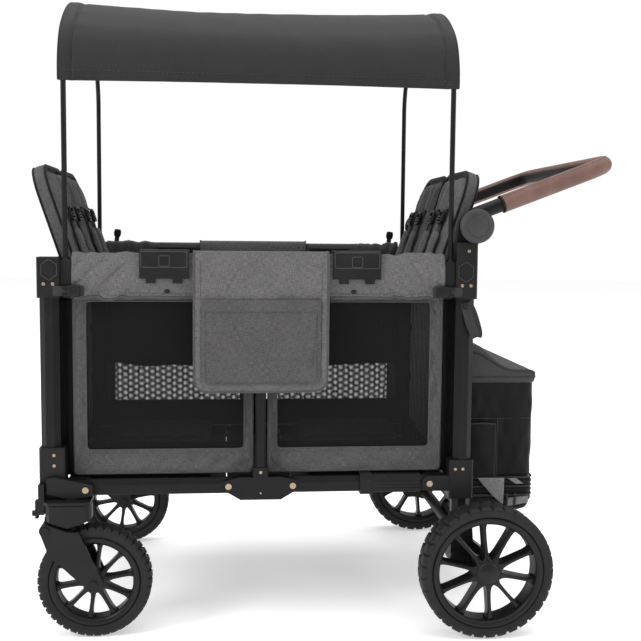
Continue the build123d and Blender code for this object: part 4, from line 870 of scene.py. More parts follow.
def floor_liner():
    """Dark cloth over the gaps in the tub's floor: one strip over the centre beam and one at
    each end, each with shallow waves."""
    beam_top = extent("centre_beam")[1][2]
    strips = [("centre", "centre_frame", -0.0645, 0.0645, beam_top + 0.0016, 0.244)]
    for end_word, end in ENDS.items():
        strips.append((end_word, f"{end_word}_frame", end * 0.3315, end * 0.3850, 0.2664, 0.238))
    for word, body, x0, x1, height, half in strips:
        x = np.linspace(x0, x1, 20)[:, None]
        y = np.linspace(-half, half, 80)[None]
        z = height + 0.0004 * crumple(x, y, 79, 0.05)
        p = np.stack(np.broadcast_arrays(x, y, z), -1)
        liner = Shape().grid(p).make(f"floor_liner_{word}", lining, body, "bag_fabric",
                                     thickness=0.001)
        cut(liner, p, "laid", ["centre_beam" if word == "centre" else f"{word}_floor_board"])
        if word == "centre":
            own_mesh(liner)


def gusset(end_word, side_word):
    """The dark cloth that closes a tub corner: a strip from the side wall to the end wall whose
    plan is a smooth curve, with upright folds."""
    end, side = ENDS[end_word], SIDES[side_word]
    plan = through([(panel_high[0] - 0.001, WALL_Y - 0.002), (0.366, 0.2465), (0.376, 0.2385),
                    (wall_low[0] + 0.003, wall_high[1] - 0.003)], 40)
    z = np.linspace(0.2985, 0.640, 50)
    fold = 0.0011 * crumple(plan[:, :1], z[None] * 0.25, 60 + end + 2 * side, 0.016)
    x = np.broadcast_to(plan[:, :1], fold.shape) - 0.5 * np.abs(fold)
    y = plan[:, 1:] - np.abs(fold)
    p = mirrored(np.stack([x, y, np.broadcast_to(z[None], fold.shape)], -1), end, side)
    cloth = Shape().grid(p).make(f"corner_gusset_{end_word}_{side_word}", lining,
                                 f"{end_word}_frame", "bag_fabric", thickness=0.0010)
    cut(cloth, p, "hung", [f"side_border_{end_word}_{side_word}"])


for end_word in ENDS:
    shade(end_word)
    for side_word in SIDES:
        sleeve(end_word, side_word)
        clamp_outline_highlight(end_word, side_word)
        wall(end_word, side_word)
        gusset(end_word, side_word)
        skirt(end_word, side_word)
floor_liner()


# ---- centre pockets ------------------------------------------------------------------------
pocket_low, pocket_high = extent("side_pockets")
FLAP_Y = pocket_high[1] - 0.0078
MOUTH_Z = 0.641


def tapered(half, v_z, foot, corner):
    """Half width at a height: half, less the circle's share within corner of the foot."""
    below = np.clip(corner - (v_z - foot), 0, corner)
    return half - corner + np.sqrt(np.maximum(corner ** 2 - below ** 2, 0))


def centre_flap(side_word):
    """The flap that hangs over the centre of a side, with a stitched pouch on it."""
    side = SIDES[side_word]
    half, foot = pocket_high[0], pocket_low[2]
    line = through([(RAIL_Y - 0.0165, 0.712), (RAIL_Y - 0.0155, 0.722), (RAIL_Y - 0.009, 0.7305),
                    (RAIL_Y + 0.006, 0.7318), (RAIL_Y + 0.019, 0.7300), (FLAP_Y - 0.001, 0.722),
                    (FLAP_Y, 0.705), (FLAP_Y + 0.0005, 0.62), (FLAP_Y, 0.54), (FLAP_Y, foot)], 110)
    if side == FAR:
        line[:, 1] += LINER_RISE * np.clip((line[:, 1] - 0.700) / 0.030, 0, 1)
    wide = tapered(half, line[:, 1], foot, 0.026)
    t = np.linspace(-1, 1, 64)
    x = wide[:, None] * t[None]
    z = np.broadcast_to(line[:, 1:2], x.shape)
    hang = np.clip((0.72 - z) / 0.05, 0, 1)
    y = line[:, :1] + hang * (0.0016 * crumple(x, z, 90 + side, 0.10)
                              + 0.0009 * crumple(x, z, 91 + side, 0.04)
                              - 0.0012 * crease(x * 0.6, z, 92 + side, 0.09))
    rim_lift = np.clip((np.abs(x) - (wide[:, None] - 0.013)) / 0.002, 0, 1) * hang
    p = mirrored(np.stack([x, y + 0.0012 * rim_lift, z], -1), 1, side)
    flap = Shape().grid(p).make(f"centre_flap_{side_word}", melange, "centre_frame", "tub_fabric",
                                thickness=0.0014, replaces=["side_pockets"])
    pouch_half, pouch_foot = half - 0.0135, foot + 0.0125
    gz = np.concatenate([np.linspace(pouch_foot, MOUTH_Z - 0.0245, 60),
                         np.linspace(MOUTH_Z - 0.0235, MOUTH_Z, 12)])
    wide = tapered(pouch_half, gz, pouch_foot, 0.022)
    gx = wide[:, None] * t[None]
    zz = np.broadcast_to(gz[:, None], gx.shape)
    round_off = np.clip((wide[:, None] - np.abs(gx)) / 0.012, 0, 1) ** 0.5 * np.clip(
        (zz - pouch_foot) / 0.012, 0, 1) ** 0.5
    band = (zz > MOUTH_Z - 0.024) * 0.0008
    gy = FLAP_Y + 0.0016 + round_off * (0.0040 + 0.0013 * crumple(gx, zz, 95 + side, 0.07)
                                        + 0.0007 * crumple(gx, zz, 96 + side, 0.03)) + band
    q = mirrored(np.stack([gx, gy, zz], -1), 1, side)
    # The pouch is drawn in the darker melange copy, which paints shade on it.
    pouch = Shape().grid(q).make(f"pocket_pouch_{side_word}", melange_painted_shade, "centre_frame",
                                 "tub_fabric", thickness=0.0013)
    cut(flap, p, "hung", ["rear_top_rails", "centre_posts"])
    cut(pouch, q, "stretched", [flap])
    tape = Shape()
    edge = np.vstack([p[8:, 0], p[-1, 1:-1], p[8:, -1][::-1]])
    tape.grid(carry(edge, oval(0.0024, 0.0019, 10)), around=True)
    edging = tape.make(f"flap_binding_{side_word}", binding, "centre_frame", "tub_fabric")
    lift = np.array([0, side * 0.0014, 0])
    seam = Shape()
    inset = np.vstack([q[6:-12, 2], q[2, 3:-3], q[6:-12, -3][::-1]]) + lift * 0.7
    stitches(seam, inset, (0, side, 0))
    stitches(seam, q[60, 2:-2] + lift, (0, side, 0))
    stitches(seam, p[24:-4, 3] + lift, (0, side, 0))
    stitches(seam, p[24:-4, -4] + lift, (0, side, 0))
    sewn = seam.make(f"pocket_stitches_{side_word}", dark_thread, "centre_frame", "tub_fabric")
    for part in (flap, pouch, edging, sewn):
        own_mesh(part)


for side_word in SIDES:
    centre_flap(side_word)


# ---- end walls -----------------------------------------------------------------------------
def end_cloth(end_word):
    """The outer skin of an end wall: a taut sheet with slack waves, hems and a seam."""
    end = ENDS[end_word]
    y = np.linspace(wall_low[1] + 0.001, wall_high[1] - 0.001, 90)[:, None]
    z = np.linspace(wall_low[2] + 0.001, wall_high[2] - 0.002, 80)[None]
    slack = np.sin((z - z[0, 0]) / (z[0, -1] - z[0, 0]) * pi)
    x = wall_high[0] - 0.0016 + slack * 0.0014 * crumple(y, z, 120 + end, 0.12)
    p = mirrored(np.stack(np.broadcast_arrays(x, y, z), -1), end, 1)
    cloth = Shape().grid(p).make(f"end_cloth_{end_word}", melange, f"{end_word}_frame",
                                 "tub_fabric", thickness=0.0016,
                                 replaces=[f"{end_word}_end_wall"])
    cut(cloth, p, "stretched", [f"{end_word}_posts"])
    tape = Shape()
    for line in (p[0], p[-1], p[:, 0], p[:, -1]):
        tape.grid(carry(line, oval(0.0024, 0.0019, 8), side=(1, 0, 0)), around=True)
    tape.make(f"end_binding_{end_word}", binding, f"{end_word}_frame", "tub_fabric")
    seam = Shape()
    for row in (14, 62):
        stitches(seam, p[2:-2, row] + np.array([end * 0.0012, 0, 0]), (end, 0, 0))
    seam.make(f"end_stitches_{end_word}", dark_thread, f"{end_word}_frame", "tub_fabric")


def block_form(low, high, corner, cells, inset):
    """A closed box of grid cells with rounded corners: the six faces of a cube, each point
    clamped to the core box and stood off by the corner's radius."""
    low, high = np.asarray(low) + inset, np.asarray(high) - inset
    faces = []
    for axis in range(3):
        u, v = [k for k in range(3) if k != axis]
        for top in (0, 1):
            a, b = np.meshgrid(np.linspace(0, 1, cells[u] + 1), np.linspace(0, 1, cells[v] + 1),
                               indexing="ij")
            p = np.zeros(a.shape + (3,))
            p[..., u], p[..., v], p[..., axis] = a, b, top
            p = low + p * (high - low)
            core = np.clip(p, low + corner, high - corner)
            away = p - core
            size = np.maximum(np.linalg.norm(away, axis=-1, keepdims=True), 1e-9)
            faces.append(np.where(size > 1e-8, core + away / size * corner, p))
    return faces


def puffed(name, grids, shape_move, material, body, slot, cap, replaces, voxel=0.005,
           pressure=4.0):
    """A padded piece: the closed form remeshed, blown up as cloth by a steady pressure with no
    gravity, each point kept within cap of where it began, then sewn by shape_move."""
    work = Shape()
    for g in grids:
        work.grid(g)
    pad = work.make(name, material, body, slot, replaces=replaces)
    keep = pad.parent
    pad.parent = None
    bpy.context.view_layer.objects.active = pad
    remesh = pad.modifiers.new("voxels", "REMESH")
    remesh.mode, remesh.voxel_size = "VOXEL", voxel
    bake_modifiers(pad)
    start = coordinates(pad.data)
    cloth = pad.modifiers.new("cloth", "CLOTH")
    cloth.settings.use_pressure = True
    cloth.settings.uniform_pressure_force = pressure
    cloth.settings.effector_weights.gravity = 0
    cloth.settings.quality = 4
    for number in range(1, 21):
        bpy.context.scene.frame_set(number)
    seen = pad.evaluated_get(bpy.context.evaluated_depsgraph_get())
    moved = coordinates(seen.data) - start
    pad.modifiers.clear()
    moved -= np.median(moved, axis=0)
    length = np.maximum(np.linalg.norm(moved, axis=1, keepdims=True), 1e-9)
    start = start + moved * np.minimum(1, cap / length)
    bpy.context.scene.frame_set(1)
    start = shape_move(start - (FOLD_X, 0, 0)) + (FOLD_X, 0, 0)
    pad.data.vertices.foreach_set("co", start.astype(np.float32).ravel())
    pad.data.polygons.foreach_set("use_smooth", np.ones(len(pad.data.polygons), bool))
    rounder = pad.modifiers.new("round", "SUBSURF")
    rounder.levels = rounder.render_levels = 1
    pad.parent = keep
    return pad


def coordinates(mesh):
    """A mesh's points as an array."""
    co = np.zeros(len(mesh.vertices) * 3, np.float32)
    mesh.vertices.foreach_get("co", co)
    return co.reshape(-1, 3).astype(float)


def bake_modifiers(thing):
    """Replaces a mesh by itself with its modifiers applied."""
    seen = thing.evaluated_get(bpy.context.evaluated_depsgraph_get())
    made = bpy.data.meshes.new_from_object(seen)
    thing.modifiers.clear()
    thing.data = made


def groove(across, lines, depth, width):
    """Sewn channels: how far each point is pulled in, a bell curve about the nearest line."""
    near = np.min(np.abs(across[:, None] - np.asarray(lines)[None]), axis=1)
    return depth * np.exp(-(near / width) ** 2)


def end_pad(end_word):
    """The quilted pad inside an end wall, sewn in upright channels and two cross rows."""
    end = ENDS[end_word]
    low = np.array([wall_low[0], wall_low[1] + 0.006, wall_low[2] + 0.012])
    high = np.array([wall_high[0] - 0.0045, wall_high[1] - 0.006, 0.646])
    lines = np.linspace(low[1], high[1], 9)[1:-1]

    def sew(p):
        sunk = np.maximum(groove(p[:, 1], lines, 0.006, 0.006),
                          groove(p[:, 2], (0.42, 0.54), 0.005, 0.006))
        inner = np.abs(p[:, 0]) < (low[0] + high[0]) / 2
        p[:, 0] += np.where(inner, end * sunk, 0)
        return p

    grids = [mirrored(g, end, 1) for g in block_form(low, high, 0.006, (4, 60, 44), 0.003)]
    pad = puffed(f"end_pad_{end_word}", grids, sew, melange_pad, f"{end_word}_frame",
                 "seat_fabric", 0.006, [f"{end_word}_end_wall"], voxel=0.006)


def seat_cushion(end_word):
    """A seat pad: two seats side by side, each with a crowned middle and sewn edges."""
    end = ENDS[end_word]
    low, high = extent("rear_seat_pad")

    def sew(p):
        x, y = np.abs(p[:, 0]), p[:, 1]
        sunk = np.maximum(groove(y, (0.0,), 0.012, 0.007), groove(
            x, (low[0] + 0.085, high[0] - 0.085), 0.006, 0.006))
        top = p[:, 2] > (low[2] + high[2]) / 2
        p[:, 2] -= np.where(top, sunk, 0)
        p[:, 2] = np.maximum(p[:, 2], low[2] + 0.0002)
        return p

    grids = [mirrored(g, end, 1) for g in block_form(low, high, 0.014, (30, 60, 6), 0.004)]
    # The cushion cloth is near black: partly its own colour, partly painted shade.
    pad = puffed(f"seat_cushion_{end_word}", grids, sew, cushion_black_and_shade, f"{end_word}_rails",
                 "bag_fabric", 0.006, [f"{end_word}_seat_pad"], voxel=0.006)


for end_word in ENDS:
    end_cloth(end_word)
    end_pad(end_word)
    seat_cushion(end_word)


# ---- seat backs ----------------------------------------------------------------------------
BACK_LEAN = radians(18.5)
seat_low, seat_high = extent("seat_back_rear_far")
SEAT_LONG, SEAT_DEEP, SEAT_ROUND = 0.238, 0.030, 0.062
SEAT_INNER_ROUND = 0.016         # the corner beside the neighbouring back is nearly square
SEAT_HINGE = joint_place["seat_back_tilt_rear_far"]


def lean(p, end, side):
    """From a seat back's own axes (x through it, y across, z up it) to its place."""
    c, s = cos(BACK_LEAN), sin(BACK_LEAN)
    x = SEAT_HINGE[0] + p[..., 0] * c + p[..., 2] * s
    z = SEAT_HINGE[2] - p[..., 0] * s + p[..., 2] * c
    return mirrored(np.stack([x, SEAT_HINGE[1] + p[..., 1], z], -1), end, side)


def unlean(p, end, side):
    """The way back from a place to a seat back's own axes."""
    p = mirrored(p, end, side)
    c, s = cos(BACK_LEAN), sin(BACK_LEAN)
    x, z = p[:, 0] - SEAT_HINGE[0], p[:, 2] - SEAT_HINGE[2]
    return np.stack([x * c - z * s, p[:, 1] - SEAT_HINGE[1], x * s + z * c], 1)


def seat_outline(grow, count=40):
    """A seat back's outline from one foot up, over the rounded top and down, as (y, z)."""
    half = (seat_high[1] - seat_low[1]) / 2 + grow
    top = SEAT_LONG + grow
    inner = soft_corners([(-half, -0.004), (-half, top), (0, top)], SEAT_INNER_ROUND, 12)
    outer = soft_corners([(0, top), (half, top), (half, -0.004)], SEAT_ROUND + grow, 12)
    return evenly(np.vstack([inner[:-1], outer]), count)


def seat_back(end_word, side_word):
    """A padded back: crowned in its middle, pulled in along sewn channels, with a bound edge,
    harness slots, straps with padded covers, and plastic adjusters."""
    end, side = ENDS[end_word], SIDES[side_word]
    body = f"back_{end_word}_{side_word}"
    outline = seat_outline(-0.006, 60)
    half_deep = SEAT_DEEP / 2 - 0.004
    spread = np.linspace(-1, 1, 9)
    centre = np.array([0.0, SEAT_LONG * 0.45])
    grids = []
    rim_ring = np.stack([np.stack([np.full(len(outline), d * half_deep), outline[:, 0],
                                   outline[:, 1]], 1) for d in spread])
    grids.append(rim_ring)
    for d in (-1, 1):
        t = np.linspace(0, 1, 16)[:, None, None]
        flat = outline[None] * (1 - t) + centre[None, None] * t
        grids.append(np.stack([np.full(flat.shape[:2], d * half_deep), flat[..., 0],
                               flat[..., 1]], -1))
    foot = np.linspace(0, 1, 12)[:, None, None]
    row = outline[0] + (outline[-1] - outline[0]) * np.linspace(0, 1, 12)[:, None]
    grids.append(np.stack([np.stack([np.full(12, d * half_deep), row[:, 0], row[:, 1]], 1)
                           for d in spread]))
    for d in (-1, 1):
        flat = row[None] * (1 - foot) + centre[None, None] * foot
        grids.append(np.stack([np.full(flat.shape[:2], d * half_deep), flat[..., 0],
                               flat[..., 1]], -1))

    def sew(p):
        q = unlean(p, end, side)
        channels = np.maximum(
            groove(q[:, 1] * (1 + 0.35 * (q[:, 2] / SEAT_LONG)), (-0.078, -0.026, 0.0, 0.026, 0.078),
                   0.0060, 0.0058) * np.clip((0.222 - q[:, 2]) / 0.02, 0, 1),
            groove(q[:, 2], (0.012,), 0.006, 0.008))
        slots = np.exp(-((np.abs(q[:, 1]) - 0.046) / 0.020) ** 2 - ((q[:, 2] - 0.150) / 0.006) ** 2)
        inner = q[:, 0] < 0
        q[:, 0] += np.where(inner, channels + 0.006 * slots, -0.3 * channels)
        return lean(q, end, side)

    pad = puffed(f"seat_cover_{end_word}_{side_word}", [lean(g, end, side) for g in grids], sew,
                 melange_pad, body, "seat_fabric", 0.008,
                 [f"seat_back_{end_word}_{side_word}"], voxel=0.005, pressure=5.0)

    band = seat_outline(-0.0045, 110)
    path = np.stack([np.full(len(band), 0.001), band[:, 0], band[:, 1]], 1)
    edge = Shape().grid(lean(carry(path, oval(0.0042, 0.0105, 24, 3.0), side=(1, 0, 0)),
                             end, side), around=True)
    # The edge band is drawn in the darker melange copy, which paints shade on it.
    edge.make(f"seat_edge_{end_word}_{side_word}", melange_painted_shade, body, "seat_fabric")
    bound = Shape()
    for deep in (-0.0110, 0.0120):
        cord = path + np.array([deep, 0, 0])
        bound.grid(lean(carry(cord, oval(0.0046, 0.0026, 14), side=(1, 0, 0)), end, side),
                   around=True)
    bound.make(f"seat_binding_{end_word}_{side_word}", bag_cloth, body, "seat_fabric")
    for k, middle in enumerate((-0.046, 0.046)):
        shoulder_strap(f"{end_word}_{side_word}_{k}", middle, end, side, body)


FRONT_FACE = -SEAT_DEEP / 2 - 0.003


def shoulder_strap(word, middle, end, side, body):
    """A shoulder strap: webbing out of its slot, an adjuster, and a long padded cover that
    lies along the seat back.  Its line is (x, z) in the back's own axes at one y."""
    line = through([(FRONT_FACE + 0.006, 0.152), (FRONT_FACE - 0.002, 0.153),
                    (FRONT_FACE - 0.006, 0.146), (FRONT_FACE - 0.006, 0.132),
                    (FRONT_FACE - 0.004, 0.10), (FRONT_FACE - 0.004, 0.06),
                    (FRONT_FACE - 0.005, 0.02), (FRONT_FACE - 0.003, -0.012)], 60)
    path = np.stack([line[:, 0], np.full(60, middle), line[:, 1]], 1)
    strap = Shape().grid(lean(carry(path, oval(0.0009, 0.0150, 12, 5.0)), end, side), around=True)
    strap.make(f"shoulder_webbing_{word}", strap_web, body, "webbing")
    pad = evenly(path[20:57], 44) + np.array([-0.0035, 0, 0])
    ends = np.clip(np.minimum(np.arange(44), 43 - np.arange(44)) / 4, 0, 1) ** 0.5
    cover = carry(pad, oval(0.0058, 0.0235, 28, 2.6), sizes=0.55 + 0.45 * ends)
    cover = cover + np.array([1, 0, 0]) * (0.0008 * crumple(cover[..., 1], cover[..., 2], 130 + end,
                                                           0.03))[..., None]
    pads = Shape().grid(lean(cover, end, side), around=True)
    pads.make(f"shoulder_pad_{word}", melange_pad, body, "seat_fabric")
    sewn = Shape()
    for shift in (-0.0165, 0.0165):
        stitches(sewn, lean(pad + np.array([-0.0046, shift, 0]), end, side),
                 (-end * cos(BACK_LEAN), 0, 0.3), width=0.0006)
    sewn.make(f"shoulder_pad_stitches_{word}", dark_thread, body, "seat_fabric")
    buckle = Shape()
    frame_line = rectangle(-0.0175, 0.0175, 0.121, 0.146, 0.005, 12)
    ring = np.stack([np.full(len(frame_line), FRONT_FACE - 0.0085), middle + frame_line[:, 0],
                     frame_line[:, 1]], 1)
    ring = np.vstack([ring, ring[:2]])
    buckle.grid(lean(carry(ring, oval(0.0028, 0.0030, 12, 3.0), side=(1, 0, 0),
                           closed_ends=False)[:-1], end, side), around=True)
    for z in (0.1335, 0.128):
        bar = np.stack([np.full(6, FRONT_FACE - 0.0095), middle + np.linspace(-0.016, 0.016, 6),
                        np.full(6, z)], 1)
        buckle.grid(lean(carry(bar, oval(0.0018, 0.0024, 10, 3.0), side=(1, 0, 0)), end, side),
                    around=True)
    buckle.make(f"shoulder_adjuster_{word}", plastic, body, "moulded_plastic")


for end_word in ENDS:
    for side_word in SIDES:
        seat_back(end_word, side_word)


# ---- canopy --------------------------------------------------------------------------------
bow_low, bow_high = extent("rear_bow")
BOW_X = (bow_low[0] + bow_high[0]) / 2
BOW_RADIUS = (bow_high[0] - bow_low[0]) / 2
BOW_Y = bow_high[1] - BOW_RADIUS
BOW_TOP = bow_high[2] - BOW_RADIUS
BEND_RADIUS, CROWN_RISE = 0.118, 0.168
BEND_Z = BOW_TOP - CROWN_RISE
NEAR_HEM, FAR_HEM = 1.045, 1.126


def bow_line(grow, count):
    """The bow's outline moved outwards: a straight leg, a tight arc, a wide crown arc, and the
    same again, as even points (y, z) from the near leg to the far one."""
    inner = BOW_Y - BEND_RADIUS
    wide = (inner ** 2 + CROWN_RISE ** 2 - BEND_RADIUS ** 2) / (2 * (CROWN_RISE - BEND_RADIUS))
    centre = BOW_TOP - wide
    meet = np.arctan2(BEND_Z - centre, inner)
    tight = np.linspace(0, meet, 60)
    arc = np.stack([inner + (BEND_RADIUS + grow) * np.cos(tight),
                    BEND_Z + (BEND_RADIUS + grow) * np.sin(tight)], 1)
    crown = np.linspace(meet, pi / 2, 80)
    top = np.stack([(wide + grow) * np.cos(crown), centre + (wide + grow) * np.sin(crown)], 1)
    half = np.vstack([[(BOW_Y + grow, BEND_Z - 0.08)], arc, top[1:]])
    return evenly(np.vstack([half * (-1, 1), half[::-1][1:]]), count)


def canopy():
    """One sheet over both bows.  It stands off the bows' line, pulls in between them by a sine
    along x, bulges where each bow runs in its sleeve, and ends in hems."""
    full = bow_line(0.0, 900)
    side_y = np.sign(full[:, 0])
    keep = np.where(side_y < 0, full[:, 1] >= NEAR_HEM + 0.001, full[:, 1] >= FAR_HEM + 0.001)
    line = evenly(full[keep], 150)
    turn = np.gradient(line, axis=0)
    turn /= np.linalg.norm(turn, axis=1, keepdims=True)
    out = np.stack([-turn[:, 1], turn[:, 0]], 1)
    x = np.concatenate([np.linspace(-BOW_X - 0.009, -BOW_X + 0.026, 22),
                        np.linspace(-BOW_X + 0.030, BOW_X - 0.030, 96),
                        np.linspace(BOW_X - 0.026, BOW_X + 0.009, 22)])
    from_bow = np.abs(np.abs(x) - BOW_X)
    tube_lift = np.where(np.abs(x) > BOW_X - 0.013, 0.0064 - 0.0022 * (from_bow / 0.012) ** 2, 0.0)
    slack = np.cos(np.clip(x / (BOW_X - 0.012), -1, 1) * pi / 2)
    lift = np.where(np.abs(x) > BOW_X - 0.013, tube_lift, 0.0038 - 0.0095 * slack)
    sew = 0.0022 * np.exp(-((np.abs(x) - (BOW_X - 0.0165)) / 0.003) ** 2)
    s = np.linspace(0, 1, 150)
    folds = crumple(x[None], s[:, None] * 0.7, 150, 0.30) * 0.0016 + crumple(
        x[None] * 1.4, s[:, None] * 0.5, 151, 0.075) * 0.0006
    pulls = np.sin(s[:, None] * 70 + crumple(x[None], s[:, None], 152, 0.2)) * 0.0007 * np.exp(
        -(BOW_X - 0.014 - np.abs(x[None])) / 0.03) * (np.abs(x[None]) < BOW_X - 0.014)
    reach = lift[None] - sew[None] + slack[None] * folds + pulls
    y = line[:, :1] + out[:, :1] * reach
    z = line[:, 1:] + out[:, 1:] * reach
    hang = 0.0035 * slack[None] * (np.exp(-s[:, None] / 0.03) + np.exp((s[:, None] - 1) / 0.03))
    p = np.stack([np.broadcast_to(x[None], y.shape), y, z + hang], -1)
    cloth = Shape().grid(p).make("canopy_cloth", canopy_cloth, "rear_canopy_bow", "canopy_fabric",
                                 thickness=0.0010, replaces=["canopy"])
    hems = Shape()
    for edge in (p[0], p[-1]):
        hems.grid(carry(edge, oval(0.0021, 0.0013, 10)), around=True)
    for edge in (p[:, 0], p[:, -1]):
        hems.grid(carry(edge, oval(0.0018, 0.0014, 10), side=(1, 0, 0)), around=True)
    hems.make("canopy_hems", canopy_cloth, "rear_canopy_bow", "canopy_fabric")
    sewn = Shape()
    for column in (16, -17):
        off = np.stack([0 * out[:, 0], out[:, 0], out[:, 1]], 1) * 0.0008
        stitches(sewn, p[:, column] + off, (0, 0, 1), length=0.006, gap=0.003)
    for row, side in ((4, NEAR), (-5, FAR)):
        stitches(sewn, p[row] + np.array([0, side * 0.0008, 0]), (0, side, 0), length=0.006,
                 gap=0.003)
    sewn.make("canopy_stitches", dark_thread, "rear_canopy_bow", "canopy_fabric")
    fold = next(j for j in frame["joints"] if j["name"] == "fold")
    rail_length = joint_place["fold"][0] - joint_place["centre_level"][0]
    travel = 2 * rail_length * (1 - cos(radians(max(fold["range_deg"]))))
    for thing in (cloth, bpy.data.objects["canopy_hems"], bpy.data.objects["canopy_stitches"]):
        1 - travel / (2 * BOW_X)
        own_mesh(thing)


canopy()


# ---- push handle ---------------------------------------------------------------------------
HANDLE_TILT = radians(21)
HANDLE_PIVOT = joint_place["handle_swing"]
HANDLE_REACH, HANDLE_RISE, ARM_Y, BEND = 0.295, 0.021, 0.275, 0.052
GRIP_START, GRIP_RADIUS = 0.067, 0.017
CAP_FACE = 0.2901                # where a hub cap starts, from the middle plane


def tilted(p):
    """From the handle's own axes (x along its arms) to its stored place."""
    c, s = cos(HANDLE_TILT), sin(HANDLE_TILT)
    return np.stack([HANDLE_PIVOT[0] + p[..., 0] * c - p[..., 2] * s, p[..., 1],
                     HANDLE_PIVOT[2] + p[..., 0] * s + p[..., 2] * c], -1)


def grip_details():
    """The dark strip sewn along the grip's inner side and the seams beside it: a short arc of
    the grip's circle carried round the U, and threads on both sides of it."""
    corners = [(GRIP_START, -ARM_Y, HANDLE_RISE), (HANDLE_REACH, -ARM_Y, HANDLE_RISE),
               (HANDLE_REACH, ARM_Y, HANDLE_RISE), (GRIP_START, ARM_Y, HANDLE_RISE)]
    path = evenly(soft_corners(corners, BEND, 24), 240)
    along = np.gradient(path, axis=0)
    along /= np.linalg.norm(along, axis=1, keepdims=True)
    up = np.array([0, 0, 1.0])
    inward = np.cross(up, along)
    arc = np.linspace(-0.62, 0.62, 14)
    high = GRIP_RADIUS + 0.0007
    skin = path[:, None] + high * (np.cos(arc)[None, :, None] * inward[:, None]
                                   + np.sin(arc)[None, :, None] * up)
    strip = Shape().grid(tilted(skin))
    strip.make("grip_inner_strip", bag_cloth, "handle", "grip_leather", thickness=0.0011)
    sewn = Shape()
    for angle in (-0.74, 0.74, 2.2):
        line = path + (GRIP_RADIUS + 0.0001) * (np.cos(angle) * inward + np.sin(angle) * up)
        stitches(sewn, tilted(line), (0, 0, 1), length=0.0046, gap=0.0026, width=0.0006)
    sewn.make("grip_stitches", brown_thread, "handle", "grip_leather")
    collars = Shape()
    for side in (NEAR, FAR):
        ring = [(GRIP_RADIUS - 0.0026, 0.0), (GRIP_RADIUS + 0.0004, 0.0),
                (GRIP_RADIUS + 0.0004, 0.004), (GRIP_RADIUS - 0.0026, 0.004)]
        turn = np.arange(48) / 48 * 2 * pi
        r, a = np.array(ring)[:, 0], np.array(ring)[:, 1]
        p = np.stack([GRIP_START - 0.0042 + np.broadcast_to(a[None], (48, 4)),
                      side * ARM_Y + np.cos(turn)[:, None] * r[None],
                      HANDLE_RISE + np.sin(turn)[:, None] * r[None]], -1)
        collars.grid(tilted(p), around=True, along=True)
    collars.make("grip_collars", plastic, "handle", "moulded_plastic")


def hub_caps():
    """Each cap is a stack of rings that go from a circle to a raised octagon: the radius is a
    blend of 1 and the octagon's 1 / cos of the angle from its nearest flat."""
    thick = extent("handle_caps")[1][1] - CAP_FACE
    turn = np.arange(96) / 96 * 2 * pi
    from_flat = (turn + pi / 8) % (pi / 4) - pi / 8
    octagon = 1 / np.cos(from_flat)
    rings = [(0.0, 0.0, 0), (0.0318, 0.0, 0), (0.0330, 0.0012, 0), (0.0330, 0.0068, 0),
             (0.0320, 0.0086, 0.1), (0.0262, 0.0112, 0.8), (0.0212, 0.0122, 1), (0.0205, 0.0114, 1),
             (0.0196, 0.0114, 1), (0.0188, 0.0126, 1), (0.0180, 0.0129, 1), (0.0, 0.0129, 0)]
    for word, side in SIDES.items():
        p = []
        for radius, out, eight in rings:
            r = radius * (1 + eight * (octagon - 1))
            p.append(np.stack([HANDLE_PIVOT[0] + r * np.cos(turn + HANDLE_TILT),
                               np.full(96, side * (CAP_FACE + out * thick / 0.013)),
                               HANDLE_PIVOT[2] + r * np.sin(turn + HANDLE_TILT)], 1))
        Shape().grid(np.array(p), around=True).make(f"hub_cap_{word}", cap_plastic_and_highlight, "handle",
                                                    "moulded_plastic", replaces=["handle_caps"])


grip_details()
hub_caps()


# ---- storage bag ---------------------------------------------------------------------------
bag_low, bag_high = extent("storage_bag")
lid_low, lid_high = extent("storage_bag_lid")


BAND_TOP = 0.073                 # height of the zipped bands above the bag's floor
SEAM_TOP = 0.196                 # height of the long seam above the bag's floor


def bag_ring(z, grow, corner=0.020, per_side=30):
    """The bag's outline at a height: a rounded rectangle with slightly bowed sides."""
    flat = rectangle(bag_low[0], bag_high[0], bag_low[1], bag_high[1], corner, per_side)
    centre = np.array([bag_low[0], 0.0])
    ring = flat + (flat - centre) / (bag_high[0] - bag_low[0], bag_high[1]) * grow
    ring[:, 0] = np.maximum(ring[:, 0], bag_low[0])
    return np.stack([ring[:, 0], ring[:, 1], np.full(len(ring), z)], 1)


